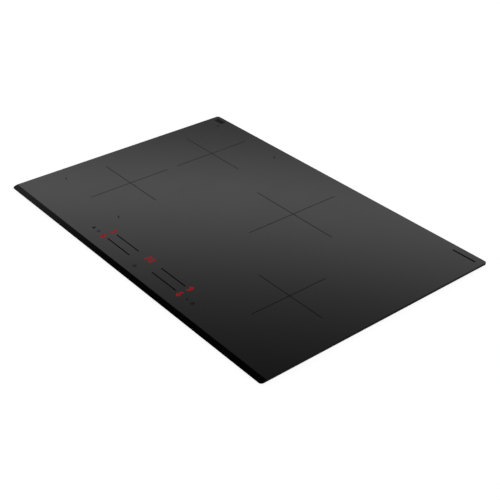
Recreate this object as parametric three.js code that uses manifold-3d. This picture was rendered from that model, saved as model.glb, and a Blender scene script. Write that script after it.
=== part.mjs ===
// Built-in electric induction cooktop of the 80 cm class, with four cooking zones.
// Units are millimetres and +Z is up. The origin lies under the middle of the glass,
// level with the underside of the casing. +X is to the cook's right, +Y is to the rear.

import * as THREE from 'three';
import { mergeVertices } from 'three/addons/utils/BufferGeometryUtils.js';
import Module from 'manifold-3d';

const wasm = await Module();
wasm.setup();

// ---- Driving dimensions ------------------------------------------------------------

const GAP = 0.3; // clearance between neighbouring pieces
const ROUND = 24; // facets round a large turned piece
const SMALL_ROUND = 12; // facets round a small turned piece

// The glass-ceramic plate. Its front edge is ground to a wide sloping facet.
const GLASS = { width: 780, depth: 520, thickness: 4, corner: 6, arris: 0.5 };
const FACET = { width: 11.3, land: 1.6 };

// The casing tray hangs below the glass and drops into a 750 x 490 mm cut-out.
const CASING = { width: 740, depth: 480, height: 40, corner: 4, sheet: 1 };
const SEAL = { outer: 3, inner: 12, thickness: 2 - GAP };
const RAIL = { leg: 8, drop: 11.7, sheet: 1.2, endGap: 14 };

// The four cooking zones: centre, outer radius of the winding, and where its lead leaves.
const ZONES = [
  { name: 'left_front', x: -251.5, y: -70, radius: 88, leadAngle: 0 },
  { name: 'left_rear', x: -251.5, y: 136.5, radius: 88, leadAngle: -22 },
  { name: 'middle_rear', x: 47, y: 103.5, radius: 104, leadAngle: 0 },
  { name: 'right_front', x: 247, y: -79, radius: 79, leadAngle: 180 },
];

// Heights of the layers between the casing floor and the glass.
const BOARD_BASE = 5;
const BOARD_THICKNESS = 1.6;
const CARRIER_BASE = 26;
const CARRIER_SHEET = 1.2;
const CARRIER = { front: -172, rearGap: 6, sideGap: 8, flangeLength: 180 };
const FERRITE = { base: 27.5, height: 4.5, width: 14, hub: 16 };
const FORMER = { base: 32.3, floor: 1.2, rimTop: 38, rim: 3, hubRadius: 13, hubWall: 1.5 };
const WINDING = { height: 4, innerRadius: 22 };
const MICA = { base: 38.3, thickness: 1.2, holeRadius: 10 };
const SENSOR = { flange: 9, flangeHeight: 2, shoulder: 7, tip: 6 };
const LEAD_RADIUS = 2;
const LEAD_HOLE_RADIUS = 5;
const LEAD_CLEARANCE = 9; // from the winding's edge to the hole that the lead goes down

// The two power boards stand left and right, each with a heat sink and a fan.
const BOARD = { width: 200, depth: 233, x: 240, y: 1.5 };
const SOLDER_SINK = 0.2; // how far a part's foot is let into its board, so that they join
const HEAT_SINK = { width: 65, depth: 215, height: 16, base: 3, fins: 9, fin: 1.6 };
const FAN = { size: 92, corner: 8, height: 16, wall: 1.5, chamber: 41, inlet: 30, x: 297, y: 170, base: 4 };
const INLET_SLOT = { pitch: 6.5, width: 3.5, eachSide: 4 };
const IMPELLER = { radius: 37, inner: 25, hub: 13, plate: 1.2, height: 10.5, lift: 0.9 };
const VANE = { count: 15, thickness: 1.4, sweep: 0.5 };
const AXLE_RADIUS = 1.5;
const AXLE_BORE = 1.6;

// Touch controls, centred a little to the right of the glass's middle.
const CONTROLS = { x: 6, y: -211, width: 360, depth: 50, base: 34 };
const TOUCH_SPRING = {
  radius: 3.5,
  places: [[-156, -7], [-140, -7], [140, -7.5], [156, -7.5], [0, -14.5], [-12, 0], [16, 0]],
};
const CONTROL_TRAY = { wall: 2, drop: 9, endGap: 12, sideGap: 1, legRadius: 6, legs: [-150, 0, 150] };
const DISPLAYS = [
  { name: 'left', x: -120, y: 3, width: 14, depth: 38 },
  { name: 'right', x: 119, y: 3, width: 14, depth: 38 },
  { name: 'timer', x: 0, y: 13.5, width: 26, depth: 17 },
];

// The terminal compartment is in the rear wall and its cover swings down on two pins.
const TERMINAL = { x: -105, width: 90, bottom: 8, top: 34.5, hingeZ: 2.6, hingeY: 242.3 };
const BLOCK = { poles: 6, pitch: 13, front: 205, rear: 231, base: 6, top: 24, screwWell: 3.5, wellFloor: 18 };
const COVER = { overlap: 4.8, top: 37, lipWidth: 30, lipHeight: 2.5, barrel: 2, pin: 1.2, pinReach: 4.2 };
const LUG = { thickness: 4, half: 2.1, bore: 1.4, offset: 7.5 };
const GLAND = { x: -35, z: 17, holeRadius: 8, boreRadius: 5.6 };

// Rows of upright slots let the warm air out of the front and rear walls.
const VENT = { firstX: 170, run: 160, pitch: 16, width: 6, bottom: 8, top: 26 };

// Stiffening beads pressed up into the casing's floor.
const BEAD = { centres: [-100, -60, 60, 100], width: 12, length: 300, rise: 1.5 };

// The clamps turn out from recesses in the casing's sides, under the worktop.
const CLAMP = { x: 358, y: 150, reach: 32, width: 16, sheet: 1.5, base: 3, tipTop: 7.4 };
const RECESS = { width: 24, height: 8, heel: 11, toe: 36 };
const SCREW = { shank: 2, hole: 2.4, head: 4.5, headHeight: 2.4, base: 0.3, top: 21, recess: 1, slot: 6 };

const glassBase = CASING.height;
const glassTop = glassBase + GLASS.thickness;
const casingTop = glassBase - GAP;
const wallX = CASING.width / 2;
const wallY = CASING.depth / 2;

// ---- Materials -----------------------------------------------------------------------

const finish = (color, roughness, metalness = 0) =>
  new THREE.MeshStandardMaterial({ color, roughness, metalness });

const blackGlass = finish(0x101113, 0.12);
const foam = finish(0x2a2b2d, 0.95);
const zincSteel = finish(0xa9adb0, 0.4, 0.9);
const aluminium = finish(0xc4c7ca, 0.35, 0.9);
const ferriteGrey = finish(0x35373a, 0.7);
const formerPlastic = finish(0xd9d2c0, 0.6);
const copper = finish(0xb0643a, 0.4, 0.9);
const mica = finish(0xb9ac8e, 0.8);
const silicone = finish(0xe8e6e0, 0.7);
const circuitBoard = finish(0x1f5a34, 0.5);
const blackPlastic = finish(0x1b1c1e, 0.55);
const displayRed = finish(0x6a1016, 0.3);
const terminalPlastic = finish(0xe3dfd4, 0.6);
const springSteel = finish(0x8f9498, 0.35, 0.9);
const cableBlack = finish(0x202124, 0.6);
const cableWhite = finish(0xdedbd2, 0.6);

// ---- Solids: joining and cutting -------------------------------------------------------

function toSolid(geometry) {
  const bare = geometry.clone();
  bare.deleteAttribute('normal');
  bare.deleteAttribute('uv');
  const merged = mergeVertices(bare, 1e-4);
  const vertProperties = new Float32Array(merged.attributes.position.array);
  const triVerts = new Uint32Array(merged.index.array);
  return new wasm.Manifold(new wasm.Mesh({ numProp: 3, vertProperties, triVerts }));
}

function toGeometry(solid) {
  const mesh = solid.getMesh();
  const geometry = new THREE.BufferGeometry();
  geometry.setAttribute('position', new THREE.BufferAttribute(mesh.vertProperties, 3));
  geometry.setIndex(new THREE.BufferAttribute(mesh.triVerts, 1));
  return geometry;
}

function join(geometries) {
  return toGeometry(geometries.map(toSolid).reduce((whole, piece) => whole.add(piece)));
}

function cut(body, tools) {
  const removed = tools.map(toSolid).reduce((whole, piece) => whole.add(piece));
  return toGeometry(toSolid(body).subtract(removed));
}

// ---- Basic shapes ----------------------------------------------------------------------

function block([x0, x1], [y0, y1], [z0, z1]) {
  const box = new THREE.BoxGeometry(x1 - x0, y1 - y0, z1 - z0);
  return box.translate((x0 + x1) / 2, (y0 + y1) / 2, (z0 + z1) / 2);
}

function rod(radius, x, y, z0, z1, facets = SMALL_ROUND) {
  const cylinder = new THREE.CylinderGeometry(radius, radius, z1 - z0, facets);
  return cylinder.rotateX(Math.PI / 2).translate(x, y, (z0 + z1) / 2);
}

function turned(profile, facets = ROUND) {
  const points = profile.map(([r, z]) => new THREE.Vector2(r, z));
  return new THREE.LatheGeometry(points, facets).rotateX(Math.PI / 2);
}

function ring(inner, outer, z0, z1, facets = ROUND) {
  return turned([[inner, z0], [outer, z0], [outer, z1], [inner, z1], [inner, z0]], facets);
}

function outline(width, depth, corner) {
  const x = width / 2;
  const y = depth / 2;
  const shape = new THREE.Shape();
  shape.moveTo(x, y - corner);
  shape.absarc(x - corner, y - corner, corner, 0, Math.PI / 2);
  shape.absarc(corner - x, y - corner, corner, Math.PI / 2, Math.PI);
  shape.absarc(corner - x, corner - y, corner, Math.PI, Math.PI * 1.5);
  shape.absarc(x - corner, corner - y, corner, Math.PI * 1.5, Math.PI * 2);
  return shape;
}

function plate(shape, z0, z1, curveSegments = 4) {
  const options = { depth: z1 - z0, bevelEnabled: false, curveSegments };
  return new THREE.ExtrudeGeometry(shape, options).translate(0, 0, z0);
}

// Sweeps a closed cross-section along a smooth curve through the given points.
function swept(shape, points, steps) {
  const route = new THREE.CatmullRomCurve3(points.map((p) => new THREE.Vector3(...p)));
  return new THREE.ExtrudeGeometry(shape, { steps, extrudePath: route, curveSegments: 2 });
}

function cable(radius, points, steps) {
  const section = new THREE.Shape();
  section.absarc(0, 0, radius, 0, Math.PI * 2);
  return swept(new THREE.Shape(section.getSpacedPoints(8).slice(0, 8)), points, steps);
}

// Slides a polygon drawn in the YZ plane along X, from x0 to x1.
function alongX(points, x0, x1) {
  const shape = new THREE.Shape(points.map(([y, z]) => new THREE.Vector2(y, z)));
  const body = new THREE.ExtrudeGeometry(shape, { depth: x1 - x0, bevelEnabled: false });
  return body.rotateX(Math.PI / 2).rotateZ(Math.PI / 2).translate(x0, 0, 0);
}

// ---- The assembly ------------------------------------------------------------------------

const cooktop = new THREE.Group();

function add(name, geometry, material, parent = cooktop) {
  const mesh = new THREE.Mesh(geometry, material);
  mesh.name = name;
  parent.add(mesh);
  return mesh;
}

// ---- Glass, seal and rails -----------------------------------------------------------------

function glassPlate() {
  const { width, depth, thickness, corner, arris } = GLASS;
  const slab = new THREE.ExtrudeGeometry(outline(width, depth, corner), {
    depth: thickness - 2 * arris,
    bevelThickness: arris,
    bevelSize: arris,
    bevelOffset: -arris,
    bevelSegments: 1,
    curveSegments: 5,
  }).translate(0, 0, glassBase + arris);
  const front = -depth / 2;
  const slope = (thickness - FACET.land) / FACET.width;
  const margin = 2;
  const facetCut = alongX([
    [front + FACET.width + margin / slope, glassTop + margin],
    [front - margin, glassTop + margin],
    [front - margin, glassBase + FACET.land - margin * slope],
  ], -width / 2 - margin, width / 2 + margin);
  return cut(slab, [facetCut]);
}

function sealRing() {
  const inset = (margin) => outline(GLASS.width - 2 * margin, GLASS.depth - 2 * margin, GLASS.corner - 1);
  const shape = inset(SEAL.outer);
  shape.holes.push(new THREE.Path(inset(SEAL.inner).getPoints(3)));
  const top = glassBase - GAP;
  return plate(shape, top - SEAL.thickness, top, 3);
}

// An angle strip along X with its corner at the origin: one leg inwards, one leg down.
function angleStrip(length) {
  const { leg, drop, sheet } = RAIL;
  const section = [[0, 0], [0, -drop], [sheet, -drop], [sheet, -sheet], [leg, -sheet], [leg, 0]];
  return alongX(section, -length / 2, length / 2);
}

function addRails() {
  const inset = CASING.sheet + 2 * GAP;
  const sides = [
    { name: 'front', x: 0, y: inset - wallY, turn: 0, length: CASING.width - 2 * RAIL.endGap },
    { name: 'rear', x: 0, y: wallY - inset, turn: Math.PI, length: CASING.width - 2 * RAIL.endGap },
    { name: 'left', x: inset - wallX, y: 0, turn: -Math.PI / 2, length: CASING.depth - 2 * RAIL.endGap },
    { name: 'right', x: wallX - inset, y: 0, turn: Math.PI / 2, length: CASING.depth - 2 * RAIL.endGap },
  ];
  for (const side of sides) {
    const rail = add(`glass_rail_${side.name}`, angleStrip(side.length), aluminium);
    rail.position.set(side.x, side.y, glassBase - GAP);
    rail.rotation.z = side.turn;
  }
}

// ---- Casing tray ---------------------------------------------------------------------------

const CORNER_SIGNS = [
  { name: 'front_left', x: -1, y: -1 },
  { name: 'front_right', x: 1, y: -1 },
  { name: 'rear_left', x: -1, y: 1 },
  { name: 'rear_right', x: 1, y: 1 },
];

const ordered = (a, b) => [Math.min(a, b), Math.max(a, b)];

// The pocket that a clamp lies in. It is open below and at the casing's side.
function clampRecess(corner, growth) {
  const inner = corner.x * (wallX - RECESS.width - growth);
  const outer = corner.x * (wallX + 1);
  const heel = corner.y * (CLAMP.y + RECESS.heel + growth);
  const toe = corner.y * (CLAMP.y - RECESS.toe - growth);
  return block(ordered(inner, outer), ordered(heel, toe), [-1, RECESS.height + growth]);
}

// A bead runs front to rear.
function floorBead(x, growth) {
  const halfWidth = BEAD.width / 2 + growth;
  const halfLength = BEAD.length / 2 + growth;
  return block([x - halfWidth, x + halfWidth], [-halfLength, halfLength], [-1, BEAD.rise + growth]);
}

function pressings(growth) {
  const recesses = CORNER_SIGNS.map((corner) => clampRecess(corner, growth));
  const beads = BEAD.centres.map((x) => floorBead(x, growth));
  return [...recesses, ...beads];
}

// Slots under each fan, as long as the round air inlet above them is wide.
function fanInletSlots(side) {
  const { pitch, width, eachSide } = INLET_SLOT;
  const slots = [];
  for (let step = -eachSide; step <= eachSide; step += 1) {
    const offset = step * pitch;
    const half = Math.sqrt(FAN.inlet ** 2 - offset ** 2);
    const x = side * FAN.x + offset;
    slots.push(block([x - width / 2, x + width / 2], [FAN.y - half, FAN.y + half], [-1, 2]));
  }
  return slots;
}

// Upright slots in the front or rear wall that let the warm air out.
function wallSlots(firstX, wall) {
  const slots = [];
  for (let i = 0; i * VENT.pitch <= VENT.run; i += 1) {
    const x = firstX + i * VENT.pitch;
    const across = [x - VENT.width / 2, x + VENT.width / 2];
    slots.push(block(across, [wall - 2, wall + 2], [VENT.bottom, VENT.top]));
  }
  return slots;
}

function hingeLug(x) {
  const { hingeY, hingeZ } = TERMINAL;
  const { thickness, half, bore } = LUG;
  const root = wallY - CASING.sheet / 2;
  const across = [x - thickness / 2, x + thickness / 2];
  const lug = block(across, [root, hingeY + half], [hingeZ - half, hingeZ + half]);
  const pinHole = rod(bore, 0, 0, -thickness, thickness).rotateY(Math.PI / 2).translate(x, hingeY, hingeZ);
  return { lug, pinHole };
}

function casingTray() {
  const { width, depth, corner, sheet } = CASING;
  const outer = cut(plate(outline(width, depth, corner), 0, casingTop), pressings(0));
  const inside = plate(outline(width - 2 * sheet, depth - 2 * sheet, corner - sheet), sheet, casingTop + 1);
  const cavity = cut(inside, pressings(sheet));
  const halfOpening = TERMINAL.width / 2;
  const lugs = [-1, 1].map((end) => hingeLug(TERMINAL.x + end * (halfOpening + LUG.offset)));
  const terminalOpening = block(
    [TERMINAL.x - halfOpening, TERMINAL.x + halfOpening],
    [wallY - 2, wallY + 1],
    [TERMINAL.bottom, TERMINAL.top],
  );
  const glandHole = rod(GLAND.holeRadius, 0, 0, -2, 2, 16).rotateX(Math.PI / 2);
  glandHole.translate(GLAND.x, wallY, GLAND.z);
  const screwHoles = CORNER_SIGNS.map((c) => rod(SCREW.hole, c.x * CLAMP.x, c.y * CLAMP.y, 5, 12));
  const shell = join([cut(outer, [cavity]), ...lugs.map((l) => l.lug)]);
  return cut(shell, [
    ...lugs.map((l) => l.pinHole),
    terminalOpening,
    glandHole,
    ...screwHoles,
    ...fanInletSlots(-1),
    ...fanInletSlots(1),
    ...wallSlots(-VENT.firstX - VENT.run, -wallY),
    ...wallSlots(VENT.firstX, -wallY),
    ...wallSlots(VENT.firstX, wallY),
  ]);
}

// ---- Coils ---------------------------------------------------------------------------------

function leadHole(zone) {
  const angle = THREE.MathUtils.degToRad(zone.leadAngle);
  const reach = zone.radius + LEAD_CLEARANCE;
  return { x: zone.x + reach * Math.cos(angle), y: zone.y + reach * Math.sin(angle) };
}

// The aluminium sheet under the coils stands on two folded side flanges.
function coilCarrier() {
  const side = wallX - CARRIER.sideGap;
  const top = CARRIER_BASE + CARRIER_SHEET;
  const sheet = block([-side, side], [CARRIER.front, wallY - CARRIER.rearGap], [CARRIER_BASE, top]);
  const foot = CASING.sheet + GAP;
  const half = CARRIER.flangeLength / 2;
  const flanges = [-1, 1].map((s) => (
    block(ordered(s * side, s * (side - CARRIER_SHEET)), [-half, half], [foot, top])
  ));
  const holes = ZONES.map(leadHole).map(({ x, y }) => rod(LEAD_HOLE_RADIUS, x, y, CARRIER_BASE - 1, top + 1));
  return cut(join([sheet, ...flanges]), holes);
}

function ferriteStar(zone) {
  const { base, height, width, hub } = FERRITE;
  const bars = [ring(hub - 8, hub, base, base + height, 16)];
  for (let i = 0; i < 8; i += 1) {
    const bar = block([hub - 4, zone.radius - 2], [-width / 2, width / 2], [base, base + height]);
    bars.push(bar.rotateZ((i + 0.5) * Math.PI / 4));
  }
  return join(bars);
}

// A round plastic pan with a rim and a hub, which the winding lies in.
function coilFormer(zone) {
  const { base, floor, rimTop, rim, hubRadius, hubWall } = FORMER;
  const outer = zone.radius + rim;
  const deck = base + floor;
  return turned([
    [4, base],
    [outer, base],
    [outer, rimTop],
    [zone.radius + GAP, rimTop],
    [zone.radius + GAP, deck],
    [hubRadius, deck],
    [hubRadius, rimTop],
    [hubRadius - hubWall, rimTop],
    [hubRadius - hubWall, deck],
    [4, deck],
    [4, base],
  ]);
}

function coilWinding(zone) {
  const base = FORMER.base + FORMER.floor + GAP;
  return ring(WINDING.innerRadius, zone.radius - GAP, base, base + WINDING.height);
}

function micaDisc(zone) {
  return ring(MICA.holeRadius, zone.radius + 1, MICA.base, MICA.base + MICA.thickness);
}

// A silicone boot round the temperature probe, pressed up against the glass.
function coilSensor() {
  const { flange, flangeHeight, shoulder, tip } = SENSOR;
  const base = FORMER.base + FORMER.floor + GAP;
  const top = glassBase - GAP;
  return turned([
    [0, base], [flange, base], [flange, base + flangeHeight], [shoulder, top - 1], [tip, top], [0, top],
  ], 16);
}

// From the winding's edge, down through the carrier sheet, to the power board.
function coilLead(zone) {
  const hole = leadHole(zone);
  const inward = Math.sign(zone.x - hole.x) || 1;
  const start = CARRIER_BASE + CARRIER_SHEET + 2 * LEAD_RADIUS + 1;
  return cable(LEAD_RADIUS, [
    [hole.x + inward * 3, hole.y, start],
    [hole.x + inward * 0.8, hole.y, CARRIER_BASE],
    [hole.x, hole.y, 20],
    [hole.x, hole.y, BOARD_BASE + BOARD_THICKNESS + 2 * GAP],
  ], 8);
}

function addCoils() {
  for (const zone of ZONES) {
    const coil = new THREE.Group();
    coil.position.set(zone.x, zone.y, 0);
    cooktop.add(coil);
    add(`ferrite_star_${zone.name}`, ferriteStar(zone), ferriteGrey, coil);
    add(`coil_former_${zone.name}`, coilFormer(zone), formerPlastic, coil);
    add(`coil_winding_${zone.name}`, coilWinding(zone), copper, coil);
    add(`mica_disc_${zone.name}`, micaDisc(zone), mica, coil);
    add(`coil_sensor_${zone.name}`, coilSensor(), silicone, coil);
    add(`coil_lead_${zone.name}`, coilLead(zone), cableWhite);
  }
}

// ---- Power electronics ---------------------------------------------------------------------

const boardTop = BOARD_BASE + BOARD_THICKNESS;
const solderedBlock = (x, y, height) => block(x, y, [boardTop - SOLDER_SINK, boardTop + height]);
const solderedCan = (radius, x, y, height) => (
  rod(radius, x, y, boardTop - SOLDER_SINK, boardTop + height, 16)
);

// A board with its soldered parts. `side` is -1 for the left one: its heat sink is outermost.
function powerBoard(side) {
  const across = (near, far) => ordered(-side * near, -side * far);
  const halfX = BOARD.width / 2;
  const halfY = BOARD.depth / 2;
  const board = block([-halfX, halfX], [-halfY, halfY], [BOARD_BASE, boardTop]);
  const resonanceCapacitors = [-79, -27].map((y) => solderedBlock(across(-8, 18), [y - 21, y + 21], 16));
  const snubber = solderedBlock(across(-8, 6), [6, 40], 14);
  const choke = solderedBlock(across(-8, 22), [52, 92], 12);
  const transformer = solderedBlock(across(34, 52), [10, 28], 9);
  const relay = solderedBlock(across(34, 56), [80, 100], 15);
  const bulkCapacitors = [-78, -50].map((y) => solderedCan(11, -side * 45, y, 17));
  const smallCapacitors = [40, 52].map((x) => solderedCan(5, -side * x, -20, 12));
  return join([
    board, ...resonanceCapacitors, snubber, choke, transformer, relay, ...bulkCapacitors, ...smallCapacitors,
  ]);
}

function heatSink() {
  const { width, depth, height, base, fins, fin } = HEAT_SINK;
  const pitch = (width - fin) / (fins - 1);
  const ribs = [];
  for (let i = 0; i < fins; i += 1) {
    const x = -width / 2 + i * pitch;
    ribs.push(block([x, x + fin], [-depth / 2, depth / 2], [base - 0.5, height]));
  }
  return join([block([-width / 2, width / 2], [-depth / 2, depth / 2], [0, base]), ...ribs]);
}

// A flat blower: air comes in from below and leaves at the front, towards the heat sink.
function fanHousing() {
  const { size, corner, height, wall, chamber, inlet } = FAN;
  const half = size / 2;
  const shell = cut(plate(outline(size, size, corner), 0, height, 3), [
    rod(chamber, 0, 0, wall, height - wall, ROUND),
    rod(inlet, 0, 0, -1, wall + 1, ROUND),
    block([-chamber + 5, chamber - 5], [-half - 1, 0], [wall, height - wall]),
  ]);
  return join([shell, rod(AXLE_RADIUS, 0, 0, wall + 1, height - wall + 0.5, 16)]);
}

function impeller() {
  const { radius, inner, hub, plate: disc, height } = IMPELLER;
  const { count, thickness, sweep } = VANE;
  const middle = (inner + radius) / 2;
  const half = (radius - inner) / 2;
  const pieces = [rod(radius, 0, 0, height - disc, height, ROUND), rod(hub, 0, 0, 2, height, 16)];
  for (let i = 0; i < count; i += 1) {
    const vane = block([-half, half], [-thickness / 2, thickness / 2], [0, height - disc / 2]);
    vane.rotateZ(sweep).translate(middle - 1, 0, 0);
    pieces.push(vane.rotateZ(i * 2 * Math.PI / count));
  }
  return cut(join(pieces), [rod(AXLE_BORE, 0, 0, -1, height + 1, 16)]);
}

function addPowerSide(name, side) {
  const board = add(`power_board_${name}`, powerBoard(side), circuitBoard);
  board.position.set(side * BOARD.x, BOARD.y, 0);
  const sink = add(`heat_sink_${name}`, heatSink(), aluminium);
  const sinkX = side * (BOARD.x + (BOARD.width - HEAT_SINK.width) / 2 - 4);
  sink.position.set(sinkX, BOARD.y, BOARD_BASE + BOARD_THICKNESS + GAP);
  const housing = add(`fan_housing_${name}`, fanHousing(), blackPlastic);
  housing.position.set(side * FAN.x, FAN.y, FAN.base);
  const rotor = add(`fan_rotor_${name}`, impeller(), blackPlastic);
  rotor.position.set(side * FAN.x, FAN.y, FAN.base + FAN.wall + IMPELLER.lift);
}

function filterBoard() {
  const board = block([-60, 120], [122, 215], [BOARD_BASE, boardTop]);
  const chokes = [0, 45].map((x) => solderedCan(14, x, 168, 15));
  const capacitors = [76, 100].map((x) => solderedBlock([x - 8, x + 8], [140, 196], 16));
  const mainsSocket = solderedBlock([-54, -40], [140, 190], 8);
  const outletSocket = solderedBlock([-24, 56], [128, 140], 9);
  return join([board, ...chokes, ...capacitors, mainsSocket, outletSocket]);
}

// ---- Controls ------------------------------------------------------------------------------

// The touch board with its sprung pads, which reach up to the underside of the glass.
function controlBoard() {
  const { width, depth, base } = CONTROLS;
  const { radius, places } = TOUCH_SPRING;
  const top = base + BOARD_THICKNESS;
  const board = block([-width / 2, width / 2], [-depth / 2, depth / 2], [base, top]);
  const springs = places.map(([x, y]) => rod(radius, x, y, top - SOLDER_SINK, glassBase - GAP, 8));
  return join([board, ...springs]);
}

// A shallow tray of two pockets on three round legs, which the touch board is clipped to.
function controlCarrier() {
  const { wall, drop, endGap, sideGap, legRadius, legs } = CONTROL_TRAY;
  const floor = CONTROLS.base - drop;
  const top = CONTROLS.base - GAP;
  const x = CONTROLS.width / 2 - endGap;
  const y = CONTROLS.depth / 2 - sideGap;
  const pocket = (from, to) => block([from, to], [-y + wall, y - wall], [floor + wall, top + 1]);
  const pockets = [pocket(-x + wall, -wall / 2), pocket(wall / 2, x - wall)];
  const tray = cut(block([-x, x], [-y, y], [floor, top]), pockets);
  const legRods = legs.map((at) => rod(legRadius, at, 0, CASING.sheet + GAP, floor + 1));
  return join([tray, ...legRods]);
}

function displayModule(width, depth) {
  const base = CONTROLS.base + BOARD_THICKNESS + GAP;
  return block([-width / 2, width / 2], [-depth / 2, depth / 2], [base, glassBase - GAP]);
}

function addControls() {
  const panel = new THREE.Group();
  panel.position.set(CONTROLS.x, CONTROLS.y, 0);
  cooktop.add(panel);
  add('control_board', controlBoard(), circuitBoard, panel);
  add('control_carrier', controlCarrier(), blackPlastic, panel);
  for (const { name, x, y, width, depth } of DISPLAYS) {
    add(`display_${name}`, displayModule(width, depth), displayRed, panel).position.set(x, y, 0);
  }
}

// ---- Wiring --------------------------------------------------------------------------------

// The ribbon drops from the touch board and runs back to the left power board.
const RIBBON = { width: 14, thickness: 1.2 };
const RIBBON_ROUTE = [[-171, -206, 33.4], [-171, -206, 26], [-171, -180, 12], [-171, -122, 9.5]];

// Wires from the filter board to both power boards, over the filter board's front edge.
const POWER_WIRE_RADIUS = 2.5;
const POWER_ROUTE = [
  [-136, 112, 12], [-110, 113, 12], [-60, 117, 15], [0, 118, 16], [70, 117, 15], [115, 113, 12], [136, 112, 12],
];

// Wires from the terminal block to the filter board's mains socket.
const MAINS_WIRE_RADIUS = 3;
const MAINS_ROUTE = [[-105, 203, 13], [-105, 192, 13], [-96, 172, 12], [-78, 165, 11], [-62.5, 165, 11]];

function addWiring() {
  const ribbonSection = outline(RIBBON.thickness, RIBBON.width, RIBBON.thickness / 4);
  add('control_ribbon', swept(ribbonSection, RIBBON_ROUTE, 14), cableWhite);
  add('power_harness', cable(POWER_WIRE_RADIUS, POWER_ROUTE, 14), cableBlack);
  add('mains_harness', cable(MAINS_WIRE_RADIUS, MAINS_ROUTE, 10), cableBlack);
}

// ---- Terminal compartment ------------------------------------------------------------------

// Six poles. Each has a screw well from above and a square wire entry from the rear.
function terminalBlock() {
  const { poles, pitch, front, rear, base, top, screwWell, wellFloor } = BLOCK;
  const half = poles * pitch / 2 + 1;
  const middle = (front + rear) / 2;
  const cuts = [];
  for (let i = 0; i < poles; i += 1) {
    const x = TERMINAL.x + (i - (poles - 1) / 2) * pitch;
    const entry = [x - screwWell, x + screwWell];
    cuts.push(rod(screwWell, x, middle, wellFloor, top + 1, 8));
    cuts.push(block(entry, [middle + screwWell, rear + 1], [base + 3, wellFloor - 2]));
  }
  return cut(block([TERMINAL.x - half, TERMINAL.x + half], [front, rear], [base, top]), cuts);
}

// A flat cover on two moulded pins, with a thumb lip along its top edge.
function terminalCover() {
  const { x, width, hingeY, hingeZ } = TERMINAL;
  const { overlap, top, lipWidth, lipHeight, barrel, pin, pinReach } = COVER;
  const half = width / 2 + overlap;
  const alongHinge = (radius, reach) => (
    rod(radius, 0, 0, -reach, reach).rotateY(Math.PI / 2).translate(x, hingeY, hingeZ)
  );
  const face = block([x - half, x + half], [wallY + GAP, hingeY], [hingeZ - 0.5, top]);
  const lipSpan = [x - lipWidth / 2, x + lipWidth / 2];
  const lip = block(lipSpan, [hingeY - 0.5, hingeY + 2], [top - lipHeight, top]);
  return join([face, lip, alongHinge(barrel, half), alongHinge(pin, half + pinReach)]);
}

// A rubber grommet that lines the cable hole, with a flange on each side of the wall.
function cableGland() {
  const { holeRadius, boreRadius } = GLAND;
  const neck = holeRadius - GAP - 0.2;
  const flange = holeRadius + 2;
  const bush = turned([
    [boreRadius, -6], [flange - 1.5, -6], [flange, -0.3], [neck, -0.3], [neck, 1.3],
    [flange, 1.3], [flange, 3], [boreRadius, 3], [boreRadius, -6],
  ], 16);
  return bush.rotateX(-Math.PI / 2);
}

function addTerminals() {
  add('terminal_block', terminalBlock(), terminalPlastic);
  add('terminal_cover', terminalCover(), blackPlastic);
  add('cable_gland', cableGland(), cableBlack).position.set(GLAND.x, wallY - CASING.sheet, GLAND.z);
}

// ---- Worktop clamps ------------------------------------------------------------------------

// A strip of spring steel that reaches along +Y, with an upturned tip that grips the worktop.
function clampArm() {
  const { reach, width, sheet, base, tipTop } = CLAMP;
  const half = width / 2;
  const strip = new THREE.Shape();
  strip.moveTo(half, 0);
  strip.lineTo(half, reach);
  strip.lineTo(-half, reach);
  strip.lineTo(-half, 0);
  strip.absarc(0, 0, half, Math.PI, Math.PI * 2);
  const tip = block([-half, half], [reach - sheet, reach], [base, tipTop]);
  const rib = block([-1.5, 1.5], [6, reach - 1], [base + sheet - 0.2, base + sheet + 1]);
  return cut(join([plate(strip, base, base + sheet, 6), tip, rib]), [rod(SCREW.hole, 0, 0, 0, 9)]);
}

function clampScrew() {
  const { shank, head, headHeight, base, top, recess, slot } = SCREW;
  const headTop = base + headHeight;
  const screw = turned([
    [0, base], [head - 0.8, base], [head, base + 0.8], [head, headTop], [shank, headTop],
    [shank, top - 1], [shank - 0.8, top], [0, top],
  ], SMALL_ROUND);
  const crossSlot = [
    block([-slot / 2, slot / 2], [-0.5, 0.5], [0, base + recess]),
    block([-0.5, 0.5], [-slot / 2, slot / 2], [0, base + recess]),
  ];
  return cut(screw, crossSlot);
}

function addClamps() {
  for (const corner of CORNER_SIGNS) {
    const place = new THREE.Group();
    place.position.set(corner.x * CLAMP.x, corner.y * CLAMP.y, 0);
    cooktop.add(place);
    const arm = add(`worktop_clamp_${corner.name}`, clampArm(), springSteel, place);
    arm.rotation.z = corner.y > 0 ? Math.PI : 0;
    add(`clamp_screw_${corner.name}`, clampScrew(), zincSteel, place);
  }
}

// ---- Putting it together -------------------------------------------------------------------

add('glass_top', glassPlate(), blackGlass);
add('worktop_seal', sealRing(), foam);
addRails();
add('casing_tray', casingTray(), zincSteel);
add('coil_carrier_sheet', coilCarrier(), aluminium);
addCoils();
addPowerSide('left', -1);
addPowerSide('right', 1);
add('filter_board', filterBoard(), circuitBoard);
addControls();
addWiring();
addTerminals();
addClamps();

export default cooktop;
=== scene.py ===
# An electric induction cooktop of the 80 cm class: a black glass plate over a steel casing.
# Metres, +Z up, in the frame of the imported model. Sizes are written in millimetres x MM.

import math

import bmesh
import bpy
from mathutils import Matrix, Vector


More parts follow.
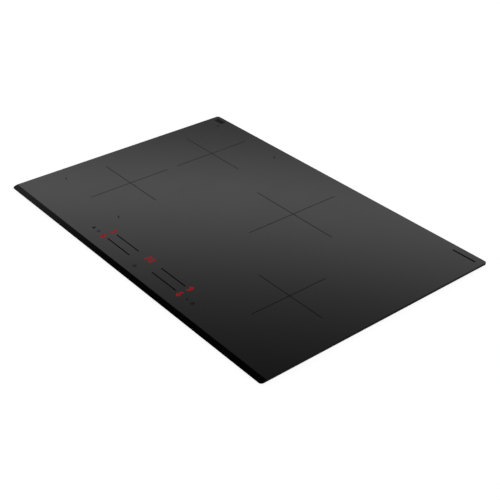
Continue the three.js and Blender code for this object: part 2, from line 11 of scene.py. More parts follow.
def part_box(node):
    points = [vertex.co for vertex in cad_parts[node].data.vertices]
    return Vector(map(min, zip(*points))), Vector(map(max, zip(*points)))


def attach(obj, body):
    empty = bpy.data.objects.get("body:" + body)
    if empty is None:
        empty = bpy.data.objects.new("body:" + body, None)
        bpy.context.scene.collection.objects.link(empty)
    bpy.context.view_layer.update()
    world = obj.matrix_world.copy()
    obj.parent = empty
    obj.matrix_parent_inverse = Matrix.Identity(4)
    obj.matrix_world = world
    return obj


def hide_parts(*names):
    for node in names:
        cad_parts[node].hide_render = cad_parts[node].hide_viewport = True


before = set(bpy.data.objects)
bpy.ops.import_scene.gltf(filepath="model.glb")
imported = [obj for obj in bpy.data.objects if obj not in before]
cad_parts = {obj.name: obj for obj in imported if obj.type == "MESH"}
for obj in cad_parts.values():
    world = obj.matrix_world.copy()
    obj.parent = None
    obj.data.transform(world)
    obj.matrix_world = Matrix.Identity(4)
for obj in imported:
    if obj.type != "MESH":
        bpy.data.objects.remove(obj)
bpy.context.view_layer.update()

MM = 0.001

# ---- Camera --------------------------------------------------------------------------------
# It stands to the front right of the cooktop, above it, and looks down at the glass just
# right of its middle.

GLASS_LOW, GLASS_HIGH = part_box("glass_top")
GLASS_FACE = GLASS_HIGH.z
VIEW_AZIMUTH = math.radians(50.9)
VIEW_ELEVATION = math.radians(32.65)
VIEW_DISTANCE = 1.8064

view_target = Vector((94.3 * MM, -40.6 * MM, GLASS_FACE))
view_back = Vector((
    math.sin(VIEW_AZIMUTH) * math.cos(VIEW_ELEVATION),
    -math.cos(VIEW_AZIMUTH) * math.cos(VIEW_ELEVATION),
    math.sin(VIEW_ELEVATION),
))
camera_data = bpy.data.cameras.new("camera")
camera_data.sensor_width = 36
camera_data.lens = 72.2
camera = bpy.data.objects.new("camera", camera_data)
camera.location = view_target + view_back * VIEW_DISTANCE
camera.rotation_euler = (-view_back).to_track_quat("-Z", "Y").to_euler()
bpy.context.scene.collection.objects.link(camera)
bpy.context.scene.camera = camera

# ---- Studio --------------------------------------------------------------------------------
# A white sweep to stand on, and a strip of white worktop along the two near edges of the
# glass, paper thin, where the cooktop would be let in. Both are lit to plain white.

bpy.context.scene.view_settings.view_transform = "Standard"


def linear(hex_colour):
    """An sRGB hex colour, such as '8a8d90', as linear red, green, blue and alpha."""
    parts = [int(hex_colour[i:i + 2], 16) / 255 for i in (0, 2, 4)]
    return [p / 12.92 if p <= 0.04045 else ((p + 0.055) / 1.055) ** 2.4 for p in parts] + [1]


def set_inputs(node, inputs):
    """Fills a node's inputs. Each takes a value, or another node's output to link from."""
    for socket, value in inputs.items():
        if isinstance(value, bpy.types.NodeSocket):
            node.id_data.links.new(value, node.inputs[socket])
        else:
            node.inputs[socket].default_value = value


def add_node(tree, kind, inputs=None, **settings):
    """Adds one shader node with its settings and its inputs."""
    made = tree.nodes.new(f"ShaderNode{kind}")
    for name, value in settings.items():
        setattr(made, name, value)
    set_inputs(made, inputs or {})
    return made


def new_finish(name):
    """A material, its node tree, its shader, and the place on the object that patterns read."""
    material = bpy.data.materials.new(name)
    material.use_nodes = True
    tree = material.node_tree
    return material, tree, tree.nodes["Principled BSDF"], add_node(tree, "TexCoord").outputs["Object"]


# Matt white paper: it scatters, and its own faint glow keeps shadows soft.
white_paper, _, paper, _ = new_finish("white_paper")
set_inputs(paper, {
    "Base Color": linear("e6e6e6"), "Roughness": 1, "Specular IOR Level": 0,
    "Emission Color": linear("ffffff"), "Emission Strength": 0.9})


def add_object(name, mesh_build, material, crisp=32):
    """Turns a bmesh into an object at the origin. Folds over `crisp` degrees stay crisp."""
    for face in mesh_build.faces:
        face.smooth = True
    for edge in mesh_build.edges:
        edge.smooth = edge.calc_face_angle(0) < math.radians(crisp)
    mesh = bpy.data.meshes.new(name)
    mesh_build.to_mesh(mesh)
    mesh_build.free()
    mesh.materials.append(material)
    made = bpy.data.objects.new(name, mesh)
    bpy.context.scene.collection.objects.link(made)
    flat = made.modifiers.new("flat_faces_look_flat", "WEIGHTED_NORMAL")
    flat.keep_sharp = True
    return made


def add_slab(mesh_build, low, high):
    """A rectangular block between two corners. Returns its vertices."""
    low, high = Vector(low), Vector(high)
    place = Matrix.Translation((low + high) / 2) @ Matrix.Diagonal(high - low).to_4x4()
    return bmesh.ops.create_cube(mesh_build, size=1, matrix=place)["verts"]


floor_build = bmesh.new()
bmesh.ops.create_grid(floor_build, x_segments=1, y_segments=1, size=20)
floor = add_object("studio_floor", floor_build, white_paper)

WORKTOP_STRIP = 34 * MM
STRIP_TUCK = 4 * MM
strip_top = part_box("worktop_seal")[0].z - 0.2 * MM
strip_bottom = strip_top - 0.1 * MM
strip_build = bmesh.new()
add_slab(
    strip_build,
    (GLASS_LOW.x, GLASS_LOW.y - WORKTOP_STRIP, strip_bottom),
    (GLASS_HIGH.x + WORKTOP_STRIP, GLASS_LOW.y + STRIP_TUCK, strip_top),
)
add_slab(
    strip_build,
    (GLASS_HIGH.x - STRIP_TUCK, GLASS_LOW.y + STRIP_TUCK, strip_bottom),
    (GLASS_HIGH.x + WORKTOP_STRIP, GLASS_HIGH.y, strip_top),
)
worktop_strip = add_object("studio_worktop_strip", strip_build, white_paper)

# The sky is a soft white band of light low in the studio, which fades out above. The glass
# mirrors it as a pale sheen across its middle, and the front facet looks past it into the dark.
SKY_FOOT, SKY_CROWN = 0.5, 0.01
SKY_STOPS = ((0.30, 0.27), (0.36, 0.27), (0.39, 0.60), (0.42, 0.92), (0.46, 0.68),
             (0.50, 0.39), (0.54, 0.24), (0.58, 0.14), (0.62, 0.014))
SKY_TILT = Vector((0.018, -0.105, 1)).normalized()

world = bpy.data.worlds.new("studio_sky")
bpy.context.scene.world = world
world.use_nodes = True
sky = world.node_tree
sky.nodes.clear()
direction = add_node(sky, "TexCoord")
height = add_node(sky, "VectorMath", {0: direction.outputs["Generated"], 1: SKY_TILT},
                  operation="DOT_PRODUCT")
band = add_node(sky, "ValToRGB", {"Fac": height.outputs["Value"]})
for end, value in zip(band.color_ramp.elements, (SKY_FOOT, SKY_CROWN)):
    end.color = (value, value, value, 1)
for position, value in SKY_STOPS:
    band.color_ramp.elements.new(position).color = (value, value, value, 1)
seen = add_node(sky, "LightPath")
band_light = add_node(sky, "Background", {"Color": band.outputs["Color"], "Strength": 1.0})
backdrop = add_node(sky, "Background", {"Color": linear("ffffff"), "Strength": 1.0})
choice = add_node(sky, "MixShader", {
    "Fac": seen.outputs["Is Camera Ray"], 1: band_light.outputs[0], 2: backdrop.outputs[0]})
add_node(sky, "OutputWorld", {"Surface": choice.outputs[0]})

# ---- Glass plate ---------------------------------------------------------------------------
# One plate of black glass-ceramic, 780 x 520 x 4 mm, rolled, cut and ground. Its front edge
# has a wide sloping facet and every other edge a fine arris. It is bonded to four rails.

PLATE_CORNER = 6 * MM
ARRIS = 0.5 * MM
FACET_WIDTH = 11.3 * MM
FACET_LAND = 1.6 * MM


def add_plate(mesh_build, low, high, corner, segments=10):
    """A flat plate between two corners, with its upright edges rounded."""
    verts = add_slab(mesh_build, low, high)
    uprights = {e for v in verts for e in v.link_edges
                if abs(e.verts[0].co.z - e.verts[1].co.z) > abs(high[2] - low[2]) / 2}
    bmesh.ops.bevel(mesh_build, geom=list(uprights), offset=corner, segments=segments,
                    profile=0.5, affect="EDGES", material=-1)


def add_piece(name, mesh_build, material, slot, *replaced, body="casing", crisp=32):
    """Adds a piece to a body, and hides the CAD nodes that it stands for. Its slot is not used."""
    piece = add_object(name, mesh_build, material, crisp)
    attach(piece, body)
    if replaced:
        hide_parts(*replaced)
    return piece


def dress(shader, looks=None, shades=None, rough=None, relief=None):
    """Sets a shader's looks. Patterns may drive its shade, its roughness and its relief in mm."""
    tree, looks = shader.id_data, dict(looks or {})
    if shades:
        pattern, dark, light = shades
        looks["Base Color"] = add_node(tree, "Mix", {
            "Factor": pattern, "A": linear(dark), "B": linear(light)}, data_type="RGBA").outputs[2]
    if rough:
        pattern, low, high = rough
        looks["Roughness"] = add_node(tree, "MapRange", {
            "Value": pattern, "To Min": low, "To Max": high}).outputs[0]
    if relief:
        pattern, strength, depth = relief
        looks["Normal"] = add_node(tree, "Bump", {
            "Height": pattern, "Strength": strength, "Distance": depth * MM}).outputs[0]
    set_inputs(shader, looks)


# Black glass-ceramic is polished by its own melt skin, so it is near black inside and mirrors
# like any glass. The rolled skin is not quite even: it waves by a hair over 60 mm or so.
glass_ceramic, tree, shader, where = new_finish("black_glass_ceramic")
skin = add_node(tree, "TexNoise", {"Vector": where, "Scale": 1 / (60 * MM), "Detail": 1})
dress(shader, {"Base Color": linear("040404"), "IOR": 1.5}, rough=(skin.outputs["Fac"], 0.085, 0.115),
      relief=(skin.outputs["Fac"], 0.05, 0.02))


def clouded_finish(name, cloud, looks, shades=None, rough=None, **noise):
    """A finish that drifts over soft clouds, between two shades, two roughnesses, or both."""
    material, tree, shader, where = new_finish(name)
    clouds = add_node(tree, "TexNoise", {"Vector": where, "Scale": 1 / (cloud * MM), **noise})
    drift = clouds.outputs["Fac"]
    dress(shader, looks, shades and (drift, *shades), rough and (drift, *rough))
    return material


# The sides and arrises are ground with a fine diamond wheel and oiled: matt, and nearly black.
ground_edge = clouded_finish("ground_glass_edge", 0.3, rough=(0.5, 0.7), looks={
    "Base Color": linear("060606"), "Specular IOR Level": 0.1})
GROUND_SLOPE = 0.9

plate_build = bmesh.new()
add_plate(plate_build, GLASS_LOW, GLASS_HIGH, PLATE_CORNER, segments=20)
facet_slope = (GLASS_HIGH.z - GLASS_LOW.z - FACET_LAND) / FACET_WIDTH
facet_cut = bmesh.ops.bisect_plane(
    plate_build, geom=plate_build.verts[:] + plate_build.edges[:] + plate_build.faces[:],
    plane_co=(0, GLASS_LOW.y + FACET_WIDTH, GLASS_HIGH.z), plane_no=(0, -facet_slope, 1),
    clear_outer=True)
bmesh.ops.contextual_create(
    plate_build, geom=[e for e in facet_cut["geom_cut"] if isinstance(e, bmesh.types.BMEdge)])
rims = [e for e in plate_build.edges if e.calc_face_angle(0) > math.radians(60)]
bmesh.ops.bevel(plate_build, geom=rims, offset=ARRIS, segments=2, profile=0.5,
                affect="EDGES", material=-1)
for face in plate_build.faces:
    face.material_index = int(abs(face.normal.z) < GROUND_SLOPE)
glass_plate = add_piece("glass_plate", plate_build, glass_ceramic, "black_glass", "glass_top", crisp=6)
glass_plate.data.materials.append(ground_edge)

# ---- Cooking zone marks --------------------------------------------------------------------
# A thin cross marks the middle of each zone, and short ticks the corners of the left bridge
# area. They are fired-on ceramic ink, a few hundredths of a millimetre thick.

ZONES = {
    "left_front": {"x": -251.5, "y": -69.5, "arm": 91},
    "left_rear": {"x": -251.5, "y": 136, "arm": 90},
    "middle_rear": {"x": 47.5, "y": 103.5, "arm": 108},
    "right_front": {"x": 247, "y": -79, "arm": 82},
}
BRIDGE = {"left": -349, "right": -154, "front": -160.5, "rear": 227}
INK_BASE = GLASS_FACE + 0.01 * MM
INK_TOP = GLASS_FACE + 0.05 * MM
CROSS_LINE = 1.45 * MM
TICK_REACH, TICK_SLANT = 4, 1.7


def add_stroke(mesh_build, start, end, width):
    """A thin straight bar of ink between two points on the glass, given in millimetres."""
    start, end = Vector(start) * MM, Vector(end) * MM
    along = end - start
    turn = Matrix.Rotation(math.atan2(along.y, along.x), 4, "Z")
    size = Matrix.Diagonal((along.length, width, INK_TOP - INK_BASE, 1))
    middle = ((start + end) / 2).to_3d() + Vector((0, 0, (INK_BASE + INK_TOP) / 2))
    bmesh.ops.create_cube(mesh_build, size=1, matrix=Matrix.Translation(middle) @ turn @ size)


# The ink is a ground glass frit, matt and darker than the plate, so it mirrors about a third
# as much light as the glass round it.
frit_ink = clouded_finish("fired_ceramic_ink", 0.8, rough=(0.12, 0.3), looks={
    "Base Color": linear("020202"), "IOR": 1.12})

marks_build = bmesh.new()
half_line = CROSS_LINE / 2 / MM
for zone in ZONES.values():
    x, y, arm = zone["x"], zone["y"], zone["arm"]
    add_stroke(marks_build, (x - arm, y), (x + arm, y), CROSS_LINE)
    add_stroke(marks_build, (x, y + half_line), (x, y + arm), CROSS_LINE)
    add_stroke(marks_build, (x, y - arm), (x, y - half_line), CROSS_LINE)
for x in (BRIDGE["left"], BRIDGE["right"]):
    for y in (BRIDGE["front"], BRIDGE["rear"]):
        add_stroke(marks_build, (x - TICK_REACH, y + TICK_SLANT), (x + TICK_REACH, y - TICK_SLANT), 2 * MM)
add_piece("zone_marks", marks_build, frit_ink, "black_glass")

# ---- Touch controls ------------------------------------------------------------------------
# The ink over the touch strip: a slider line for each zone, and small pictograms for lock,
# pause, bridge, timer, and on and off. The sliders are a black frit that hardly shines at all.

SLIDER_LINE = 2.4 * MM
SLIDER_ROWS = (-198.5, -218.3)
SLIDER_SPANS = ((-101, -29), (42.5, 114))

black_frit = clouded_finish("black_frit", 0.8, rough=(0.3, 0.5), looks={
    "Base Color": linear("000000"), "IOR": 1.05})


def add_arc(mesh_build, centre, radius, start, sweep, width, steps=16):
    """A curved bar of ink: a small upright rectangle spun about a point on the glass."""
    inner, outer = radius - width / MM / 2, radius + width / MM / 2
    turn = math.radians(start)
    corners = []
    for r, z in ((inner, INK_BASE), (outer, INK_BASE), (outer, INK_TOP), (inner, INK_TOP)):
        place = Vector((centre[0] + r * math.cos(turn), centre[1] + r * math.sin(turn))) * MM
        corners.append(mesh_build.verts.new((place.x, place.y, z)))
    section = mesh_build.faces.new(corners)
    full = abs(sweep) >= 360
    bmesh.ops.spin(mesh_build, geom=[section], cent=(centre[0] * MM, centre[1] * MM, 0),
                   axis=(0, 0, 1), angle=math.radians(sweep), steps=steps, use_merge=full)


sliders_build = bmesh.new()
for row in SLIDER_ROWS:
    for start, end in SLIDER_SPANS:
        add_stroke(sliders_build, (start, row), (end, row), SLIDER_LINE)
add_piece("slider_lines", sliders_build, black_frit, "black_glass")

ICON_LINE = 1.4 * MM
BOLD_LINE = 1.8 * MM
icons_build = bmesh.new()

# On and off: an open ring with a stem.
x, y = 6, -230.5
add_arc(icons_build, (x, y), 3, 120, 300, ICON_LINE)
add_stroke(icons_build, (x, y + 1), (x, y + 4.2), ICON_LINE)

# Lock: a shackle over a body.
x, y = -150, -216
add_arc(icons_build, (x, y), 2, 0, 180, ICON_LINE)
add_stroke(icons_build, (x - 3, y - 2.5), (x + 3, y - 2.5), 4 * MM)

# Pause: two bars.
x, y = -133.5, -217.5
for shift in (-2, 2):
    add_stroke(icons_build, (x + shift, y - 3), (x + shift, y + 3), BOLD_LINE)

# Bridge: a dash. Timer: a ring with one hand.
x, y = 146.5, -219
add_stroke(icons_build, (x - 3, y), (x + 3, y), BOLD_LINE)
x = 162
add_arc(icons_build, (x, y), 3.2, 0, 359, ICON_LINE)
add_stroke(icons_build, (x, y), (x, y + 2.4), ICON_LINE)
bmesh.ops.recalc_face_normals(icons_build, faces=icons_build.faces[:])
add_piece("touch_icons", icons_build, frit_ink, "black_glass")

# ---- Display digits ------------------------------------------------------------------------
# Seven-segment LED digits that shine up through the glass. The glass hides the module, so a
# digit is drawn level with the surface, where the eye sees it.

DIGIT_HEIGHT = 11.3
DIGIT_WIDTH = 5.8
SEGMENT = 3.1
SEGMENT_GAP = 0.2
SEGMENT_POINT = 0.48 * SEGMENT
SEGMENTS_LIT = {0: "abcdef", 1: "bc", 2: "abged", 3: "abgcd", 4: "fgbc", 5: "afgcd",
                6: "afgedc", 7: "abc", 8: "abcdefg", 9: "abfgcd"}

# The light is a deep LED red, as the dark glass lets it through.
lit_digit, tree, shader, where = new_finish("red_led_light")
patchy = add_node(tree, "TexNoise", {"Vector": where, "Scale": 1 / (6 * MM)})
redness = add_node(tree, "Mix", {
    "Factor": patchy.outputs["Fac"], "A": linear("a31424"), "B": linear("9c1a1c")}, data_type="RGBA")
set_inputs(shader, {
    "Emission Color": redness.outputs[2], "Base Color": linear("100002"), "Specular IOR Level": 0,
    "Emission Strength": 0.85})


def add_digit(mesh_build, digit, x, y):
    """One digit of bars with pointed ends, centred on a point in millimetres."""
    right, top = DIGIT_WIDTH / 2, DIGIT_HEIGHT / 2
    bars = {
        "a": ((-right, top), (right, top)), "g": ((-right, 0), (right, 0)),
        "d": ((-right, -top), (right, -top)), "b": ((right, 0), (right, top)),
        "c": ((right, -top), (right, 0)), "e": ((-right, -top), (-right, 0)),
        "f": ((-right, 0), (-right, top)),
    }
    for name in SEGMENTS_LIT[digit]:
        start, end = (Vector((x, y)) + Vector(corner) for corner in bars[name])
        along = (end - start).normalized()
        side = Vector((along.y, along.x)) * SEGMENT / 2
        low, high = (start + along * SEGMENT_GAP - side) * MM, (end - along * SEGMENT_GAP + side) * MM
        add_plate(mesh_build, (low.x, low.y, INK_BASE), (high.x, high.y, INK_TOP),
                  SEGMENT_POINT * MM, segments=1)


DISPLAYS = {
    "display_left": ((9, -114.5, -196.5), (8, -114, -219.5)),
    "display_right": ((9, 125, -196.5), (6, 126.5, -219.5)),
    "display_timer": ((2, 0.5, -197.5), (0, 11.5, -197.5)),
}
for module, digits in DISPLAYS.items():
    digits_build = bmesh.new()
    for digit, x, y in digits:
        add_digit(digits_build, digit, x, y)
    add_piece(f"{module}_digits", digits_build, lit_digit, "display_red")

# ---- Corner labels -------------------------------------------------------------------------
# Two small plain printed bars near the rear corners, with no lettering.

labels_build = bmesh.new()
add_stroke(labels_build, (324, 243.5), (376, 243.5), 3.5 * MM)
for row in (241, 245, 249):
    add_stroke(labels_build, (-378, row), (-352, row), 2.6 * MM)
add_piece("corner_labels", labels_build, black_frit, "black_glass")

# ---- Worktop seal --------------------------------------------------------------------------
# A foam tape stuck under the rim of the glass. The cooktop rests on it, and it keeps water out
# of the cut-out. Closed-cell foam, die cut, with soft edges.

SEAL_LOW, SEAL_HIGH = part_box("worktop_seal")
SEAL_WIDTH = 9 * MM
SEAL_CORNER = 5 * MM


def mm(*values):
    """A point or a size written in millimetres, in metres."""
    return Vector(values) * MM


def soften(mesh_build, width, segments=2, over=30):
    """Rounds every edge that folds by more than `over` degrees."""
    folds = [e for e in mesh_build.edges if e.calc_face_angle(0) > math.radians(over)]
    bmesh.ops.bevel(mesh_build, geom=folds, offset=width, segments=segments, profile=0.5,
                    affect="EDGES", material=-1, clamp_overlap=True)
    return mesh_build


def carve(mesh_build, tools_build, operation="DIFFERENCE"):
    """Cuts the closed shapes of the second bmesh out of the first, or joins them to it."""
    pair = []
    for build in (mesh_build, tools_build):
        mesh = bpy.data.meshes.new("carving")
        build.to_mesh(mesh)
        build.free()
        pair.append(bpy.data.objects.new("carving", mesh))
        bpy.context.scene.collection.objects.link(pair[-1])
    cutter = pair[0].modifiers.new("cutter", "BOOLEAN")
    cutter.operation = operation
    cutter.object = pair[1]
    cutter.solver = "EXACT"
    cutter.use_self = True
    carved = bmesh.new()
    carved.from_object(pair[0], bpy.context.evaluated_depsgraph_get())
    for used in pair:
        bpy.data.meshes.remove(used.data)
    return carved


# Foam scatters light and shows its cut cells as fine pits, half a millimetre apart, painted darker inside:
# painted shade.
foam, tree, shader, where = new_finish("closed_cell_foam")
cells = add_node(tree, "TexVoronoi", {"Vector": where, "Scale": 1 / (0.5 * MM)}).outputs["Distance"]
shade = add_node(tree, "MapRange", {"Value": cells, "From Max": 0.6, "To Min": 0.6, "To Max": 1})
# Painted shade: the same cell pattern that sinks the pits paints them darker.
dress(shader, {"Roughness": 0.95, "Specular IOR Level": 0.2},
      shades=(shade.outputs[0], "131415", "2b2c2e"), relief=(cells, 0.5, 0.1))

seal_build = bmesh.new()
add_plate(seal_build, SEAL_LOW, SEAL_HIGH, SEAL_CORNER, segments=8)
seal_middle = bmesh.new()
seal_inset = Vector((SEAL_WIDTH, SEAL_WIDTH, -MM))
add_plate(seal_middle, SEAL_LOW + seal_inset, SEAL_HIGH - seal_inset, SEAL_CORNER / 2)
seal_build = soften(carve(seal_build, seal_middle), 0.4 * MM)
add_piece("seal_tape", seal_build, foam, "foam_seal", "worktop_seal")

# ---- Glass rails ---------------------------------------------------------------------------
# Four strips of aluminium angle, sawn to length and bonded under the glass. The casing's walls
# are screwed to their legs.

RAIL_SHEET = 1.2 * MM
BEND_RADIUS = 0.9 * MM


def add_extrusion(mesh_build, outline, way):
    """Pushes a flat outline of points along a way, as a closed solid."""
    face = mesh_build.faces.new([mesh_build.verts.new(point) for point in outline])
    pushed = bmesh.ops.extrude_face_region(mesh_build, geom=[face])
    bmesh.ops.translate(mesh_build, vec=way,
                        verts=[v for v in pushed["geom"] if isinstance(v, bmesh.types.BMVert)])
    bmesh.ops.recalc_face_normals(mesh_build, faces=mesh_build.faces[:])


# Mill-finish aluminium has fine lines along it from the die, about 0.3 mm apart, and a satin
# shine between white and grey.


def mill_finish(name, stretch):
    """Extruded aluminium. `stretch` is small along the way that it was drawn."""
    material, tree, shader, where = new_finish(name)
    drawn = add_node(tree, "Mapping", {"Vector": where, "Scale": stretch})
    noise = add_node(tree, "TexNoise",
                     {"Vector": drawn.outputs[0], "Scale": 1 / (0.3 * MM), "Detail": 3})
    lines = noise.outputs["Fac"]
    dress(shader, {"Metallic": 1}, shades=(lines, "b3b6b9", "d2d4d6"), rough=(lines, 0.28, 0.5),
          relief=(lines, 0.2, 0.02))
    return material


mill_drawn_along_x = mill_finish("mill_aluminium_drawn_along_x", (0.01, 1, 1))
mill_drawn_along_y = mill_finish("mill_aluminium_drawn_along_y", (1, 0.01, 1))

for side, turn in (("front", 0), ("right", 90), ("rear", 180), ("left", 270)):
    low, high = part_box(f"glass_rail_{side}")
    middle, size = (low + high) / 2, high - low
    length, leg = (size.x, size.y) if turn % 180 == 0 else (size.y, size.x)
    drop = size.z
    section = ((0, 0), (RAIL_SHEET, 0), (RAIL_SHEET, drop - RAIL_SHEET), (leg, drop - RAIL_SHEET),
               (leg, drop), (0, drop))
    rail_build = bmesh.new()
    add_extrusion(rail_build, [(-length / 2, y - leg / 2, z - drop / 2) for y, z in section],
                  (length, 0, 0))
    bend = [e for e in rail_build.edges
            if all(abs(v.co.y + leg / 2) < 1e-6 and abs(v.co.z - drop / 2) < 1e-6 for v in e.verts)]
    bmesh.ops.bevel(rail_build, geom=bend, offset=BEND_RADIUS, segments=5, profile=0.5,
                    affect="EDGES", material=-1)
    soften(rail_build, 0.15 * MM, segments=1, over=40)
    place = Matrix.Translation(middle) @ Matrix.Rotation(math.radians(turn), 4, "Z")
    bmesh.ops.transform(rail_build, matrix=place, verts=rail_build.verts[:])
    drawn_way = mill_drawn_along_x if turn % 180 == 0 else mill_drawn_along_y
    add_piece(f"rail_{side}", rail_build, drawn_way, "aluminium", f"glass_rail_{side}")

# ---- Casing tray ---------------------------------------------------------------------------
# One sheet of zinc-coated steel, 1 mm thick, folded up into a tray and spot welded. It has
# stamped vents, raised beads in the floor, and pockets for the clamps.


def copy_of(node):
    """A merged copy of a CAD node's mesh, with its flat faces whole again."""
    copy = bmesh.new()
    copy.from_mesh(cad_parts[node].data)
    bmesh.ops.remove_doubles(copy, verts=copy.verts[:], dist=0.01 * MM)
    bmesh.ops.dissolve_limit(copy, angle_limit=math.radians(1), verts=copy.verts[:],
                             edges=copy.edges[:])
    return copy


# Hot-dip zinc freezes in flat crystals about 7 mm across. Their greys are close, because the
# sheet was rolled lightly afterwards, but each still has a shine of its own.
zinc_sheet, tree, shader, where = new_finish("hot_dip_zinc_steel")
waver = add_node(tree, "TexNoise", {"Vector": where, "Scale": 1 / (9 * MM), "Detail": 4})
bent = add_node(tree, "Mix", {
    "Factor": 0.004, "A": where, "B": waver.outputs["Color"]}, data_type="VECTOR")
crystals = add_node(tree, "TexVoronoi", {"Vector": bent.outputs[1], "Scale": 1 / (7 * MM)})
grey = add_node(tree, "SeparateColor", {"Color": crystals.outputs["Color"]})
dress(shader, {"Metallic": 1}, shades=(grey.outputs["Red"], "a2a6a9", "b2b6b9"),
      rough=(grey.outputs["Green"], 0.4, 0.5))

tray_build = soften(copy_of("casing_tray"), 0.3 * MM)
add_piece("tray", tray_build, zinc_sheet, "zinc_steel", "casing_tray")

# Pan-head screws hold the tray's walls to the rails. Zinc plate over steel, with a cross recess.
SCREW_HEAD = ((0, 0), (2.6, 0), (2.6, 0.5), (2.3, 1.1), (1.7, 1.45), (0.9, 1.6), (0, 1.65))


def add_turned(mesh_build, profile, x, y, steps=96):
    """Spins a profile of (radius, height) points, in millimetres, about an upright axis."""
    corners = [mesh_build.verts.new((x + r * MM, y, z * MM)) for r, z in profile]
    ends = list(zip(corners, corners[1:]))
    if profile[0][0] > 0:
        ends.append((corners[-1], corners[0]))
    outline = [mesh_build.edges.new(pair) for pair in ends]
    bmesh.ops.spin(mesh_build, geom=corners + outline, cent=(x, y, 0), axis=(0, 0, 1),
                   angle=math.tau, steps=steps, use_merge=True)
    bmesh.ops.remove_doubles(mesh_build, verts=mesh_build.verts[:], dist=0.001 * MM)
    bmesh.ops.recalc_face_normals(mesh_build, faces=mesh_build.faces[:])


def add_copies(mesh_build, pattern, places):
    """Adds a copy of a pattern bmesh at each place, and frees the pattern."""
    mesh = bpy.data.meshes.new("pattern")
    pattern.to_mesh(mesh)
    pattern.free()
    for place in places:
        known = len(mesh_build.verts)
        mesh_build.from_mesh(mesh)
        mesh_build.verts.ensure_lookup_table()
        bmesh.ops.transform(mesh_build, matrix=place, verts=mesh_build.verts[known:])
    bpy.data.meshes.remove(mesh)


def facing(place, direction):
    """The place of a part that was made upright at the origin and now faces a direction."""
    turn = Vector(direction).to_track_quat("Z", "Y").to_matrix().to_4x4()
    return Matrix.Translation(place) @ turn


bright_zinc = clouded_finish("zinc_plated_screw_steel", 2, rough=(0.2, 0.38), looks={
    "Base Color": linear("c4c8cc"), "Metallic": 1})

head_build = bmesh.new()
add_turned(head_build, SCREW_HEAD, 0, 0, steps=32)
recess_build = bmesh.new()
for arm in ((1.5, 0.35), (0.35, 1.5)):
    add_slab(recess_build, mm(-arm[0], -arm[1], 0.7), mm(arm[0], arm[1], 3))
head_build = carve(head_build, recess_build)
SCREW_HEIGHT = 33
SCREWS_ALONG = (-330, -190, 20, 190, 330)
SCREWS_ASIDE = (-180, -60, 60, 180)
HEAD_STANDS_OUT = 1.6
wall_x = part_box("glass_rail_right")[1].x / MM + HEAD_STANDS_OUT
wall_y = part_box("glass_rail_rear")[1].y / MM + HEAD_STANDS_OUT
screw_places = [facing(mm(x, y * wall_y, SCREW_HEIGHT), (0, y, 0))
                for x in SCREWS_ALONG for y in (-1, 1)]
screw_places += [facing(mm(x * wall_x, y, SCREW_HEIGHT), (x, 0, 0))
                 for y in SCREWS_ASIDE for x in (-1, 1)]
screws_build = bmesh.new()
add_copies(screws_build, head_build, screw_places)
add_piece("casing_screws", screws_build, bright_zinc, "zinc_steel")

# A blank rating plate: satin foil with round corners, stuck to the rear wall.
foil = clouded_finish("satin_label_foil", 1.5, rough=(0.35, 0.5), looks={
    "Base Color": linear("d9dadb"), "Metallic": 0.6})
label_build = bmesh.new()
add_plate(label_build, mm(-32, -9, 0), mm(32, 9, 0.15), 2 * MM, segments=6)
bmesh.ops.transform(label_build, matrix=facing(mm(80, wall_y, 18), (0, 1, 0)),
                    verts=label_build.verts[:])
add_piece("rating_plate", label_build, foil, "aluminium")

# ---- Coil carrier sheet --------------------------------------------------------------------
# A shelf of thin aluminium sheet under all four coils. It carries them on two folded feet and
# shields the boards below. Each coil's lead goes down through a round hole in it.

CARRIER_SHEET = 1.2 * MM
FLANGE_HALF = 90 * MM
LEAD_HOLE = 5 * MM
LEAD_RADIUS = 2 * MM


def add_rod(mesh_build, radius, start, end, steps=32):
    """A round rod between two points."""
    along = Vector(end) - Vector(start)
    bmesh.ops.create_cone(
        mesh_build, cap_ends=True, segments=steps, radius1=radius, radius2=radius,
        depth=along.length, matrix=facing((Vector(start) + Vector(end)) / 2, along))


def lead_hole(zone):
    """Where a coil's lead goes down through the sheet."""
    low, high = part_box(f"coil_lead_{zone}")
    outward = high.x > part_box(f"coil_former_{zone}")[1].x
    x = high.x - LEAD_RADIUS if outward else low.x + LEAD_RADIUS
    return Vector((x, (low.y + high.y) / 2, 0))


# Cold-rolled sheet: a brighter, more even satin than the rails, with handling smudges.
rolled_aluminium, tree, shader, where = new_finish("cold_rolled_aluminium_sheet")
rolled = add_node(tree, "Mapping", {"Vector": where, "Scale": (1, 0.03, 1)})
lines = add_node(tree, "TexNoise", {"Vector": rolled.outputs[0], "Scale": 1 / (0.4 * MM)})
smudges = add_node(tree, "TexNoise", {"Vector": where, "Scale": 1 / (70 * MM), "Detail": 3})
blend = add_node(tree, "Math", {0: lines.outputs["Fac"], 1: smudges.outputs["Fac"]},
                 operation="ADD")
satin = add_node(tree, "MapRange",
                 {"Value": blend.outputs[0], "From Max": 2, "To Min": 0.2, "To Max": 0.5})
set_inputs(shader, {"Roughness": satin.outputs[0], "Base Color": linear("cfd1d3"), "Metallic": 1})

low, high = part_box("coil_carrier_sheet")
sheet_build = bmesh.new()
add_slab(sheet_build, (low.x, low.y, high.z - CARRIER_SHEET), high)
holes_build = bmesh.new()
for zone in ZONES:
    hole = lead_hole(zone)
    add_rod(holes_build, LEAD_HOLE, hole + mm(0, 0, 20), hole + mm(0, 0, 35), steps=48)
sheet_build = carve(sheet_build, holes_build)
for x, inward in ((low.x, 1), (high.x, -1)):
    edge, inner = sorted((x, x + inward * CARRIER_SHEET))
    add_slab(sheet_build, (edge, -FLANGE_HALF, low.z), (inner, FLANGE_HALF, high.z - CARRIER_SHEET / 2))
soften(sheet_build, 0.25 * MM)
add_piece("coil_carrier", sheet_build, rolled_aluminium, "aluminium", "coil_carrier_sheet")

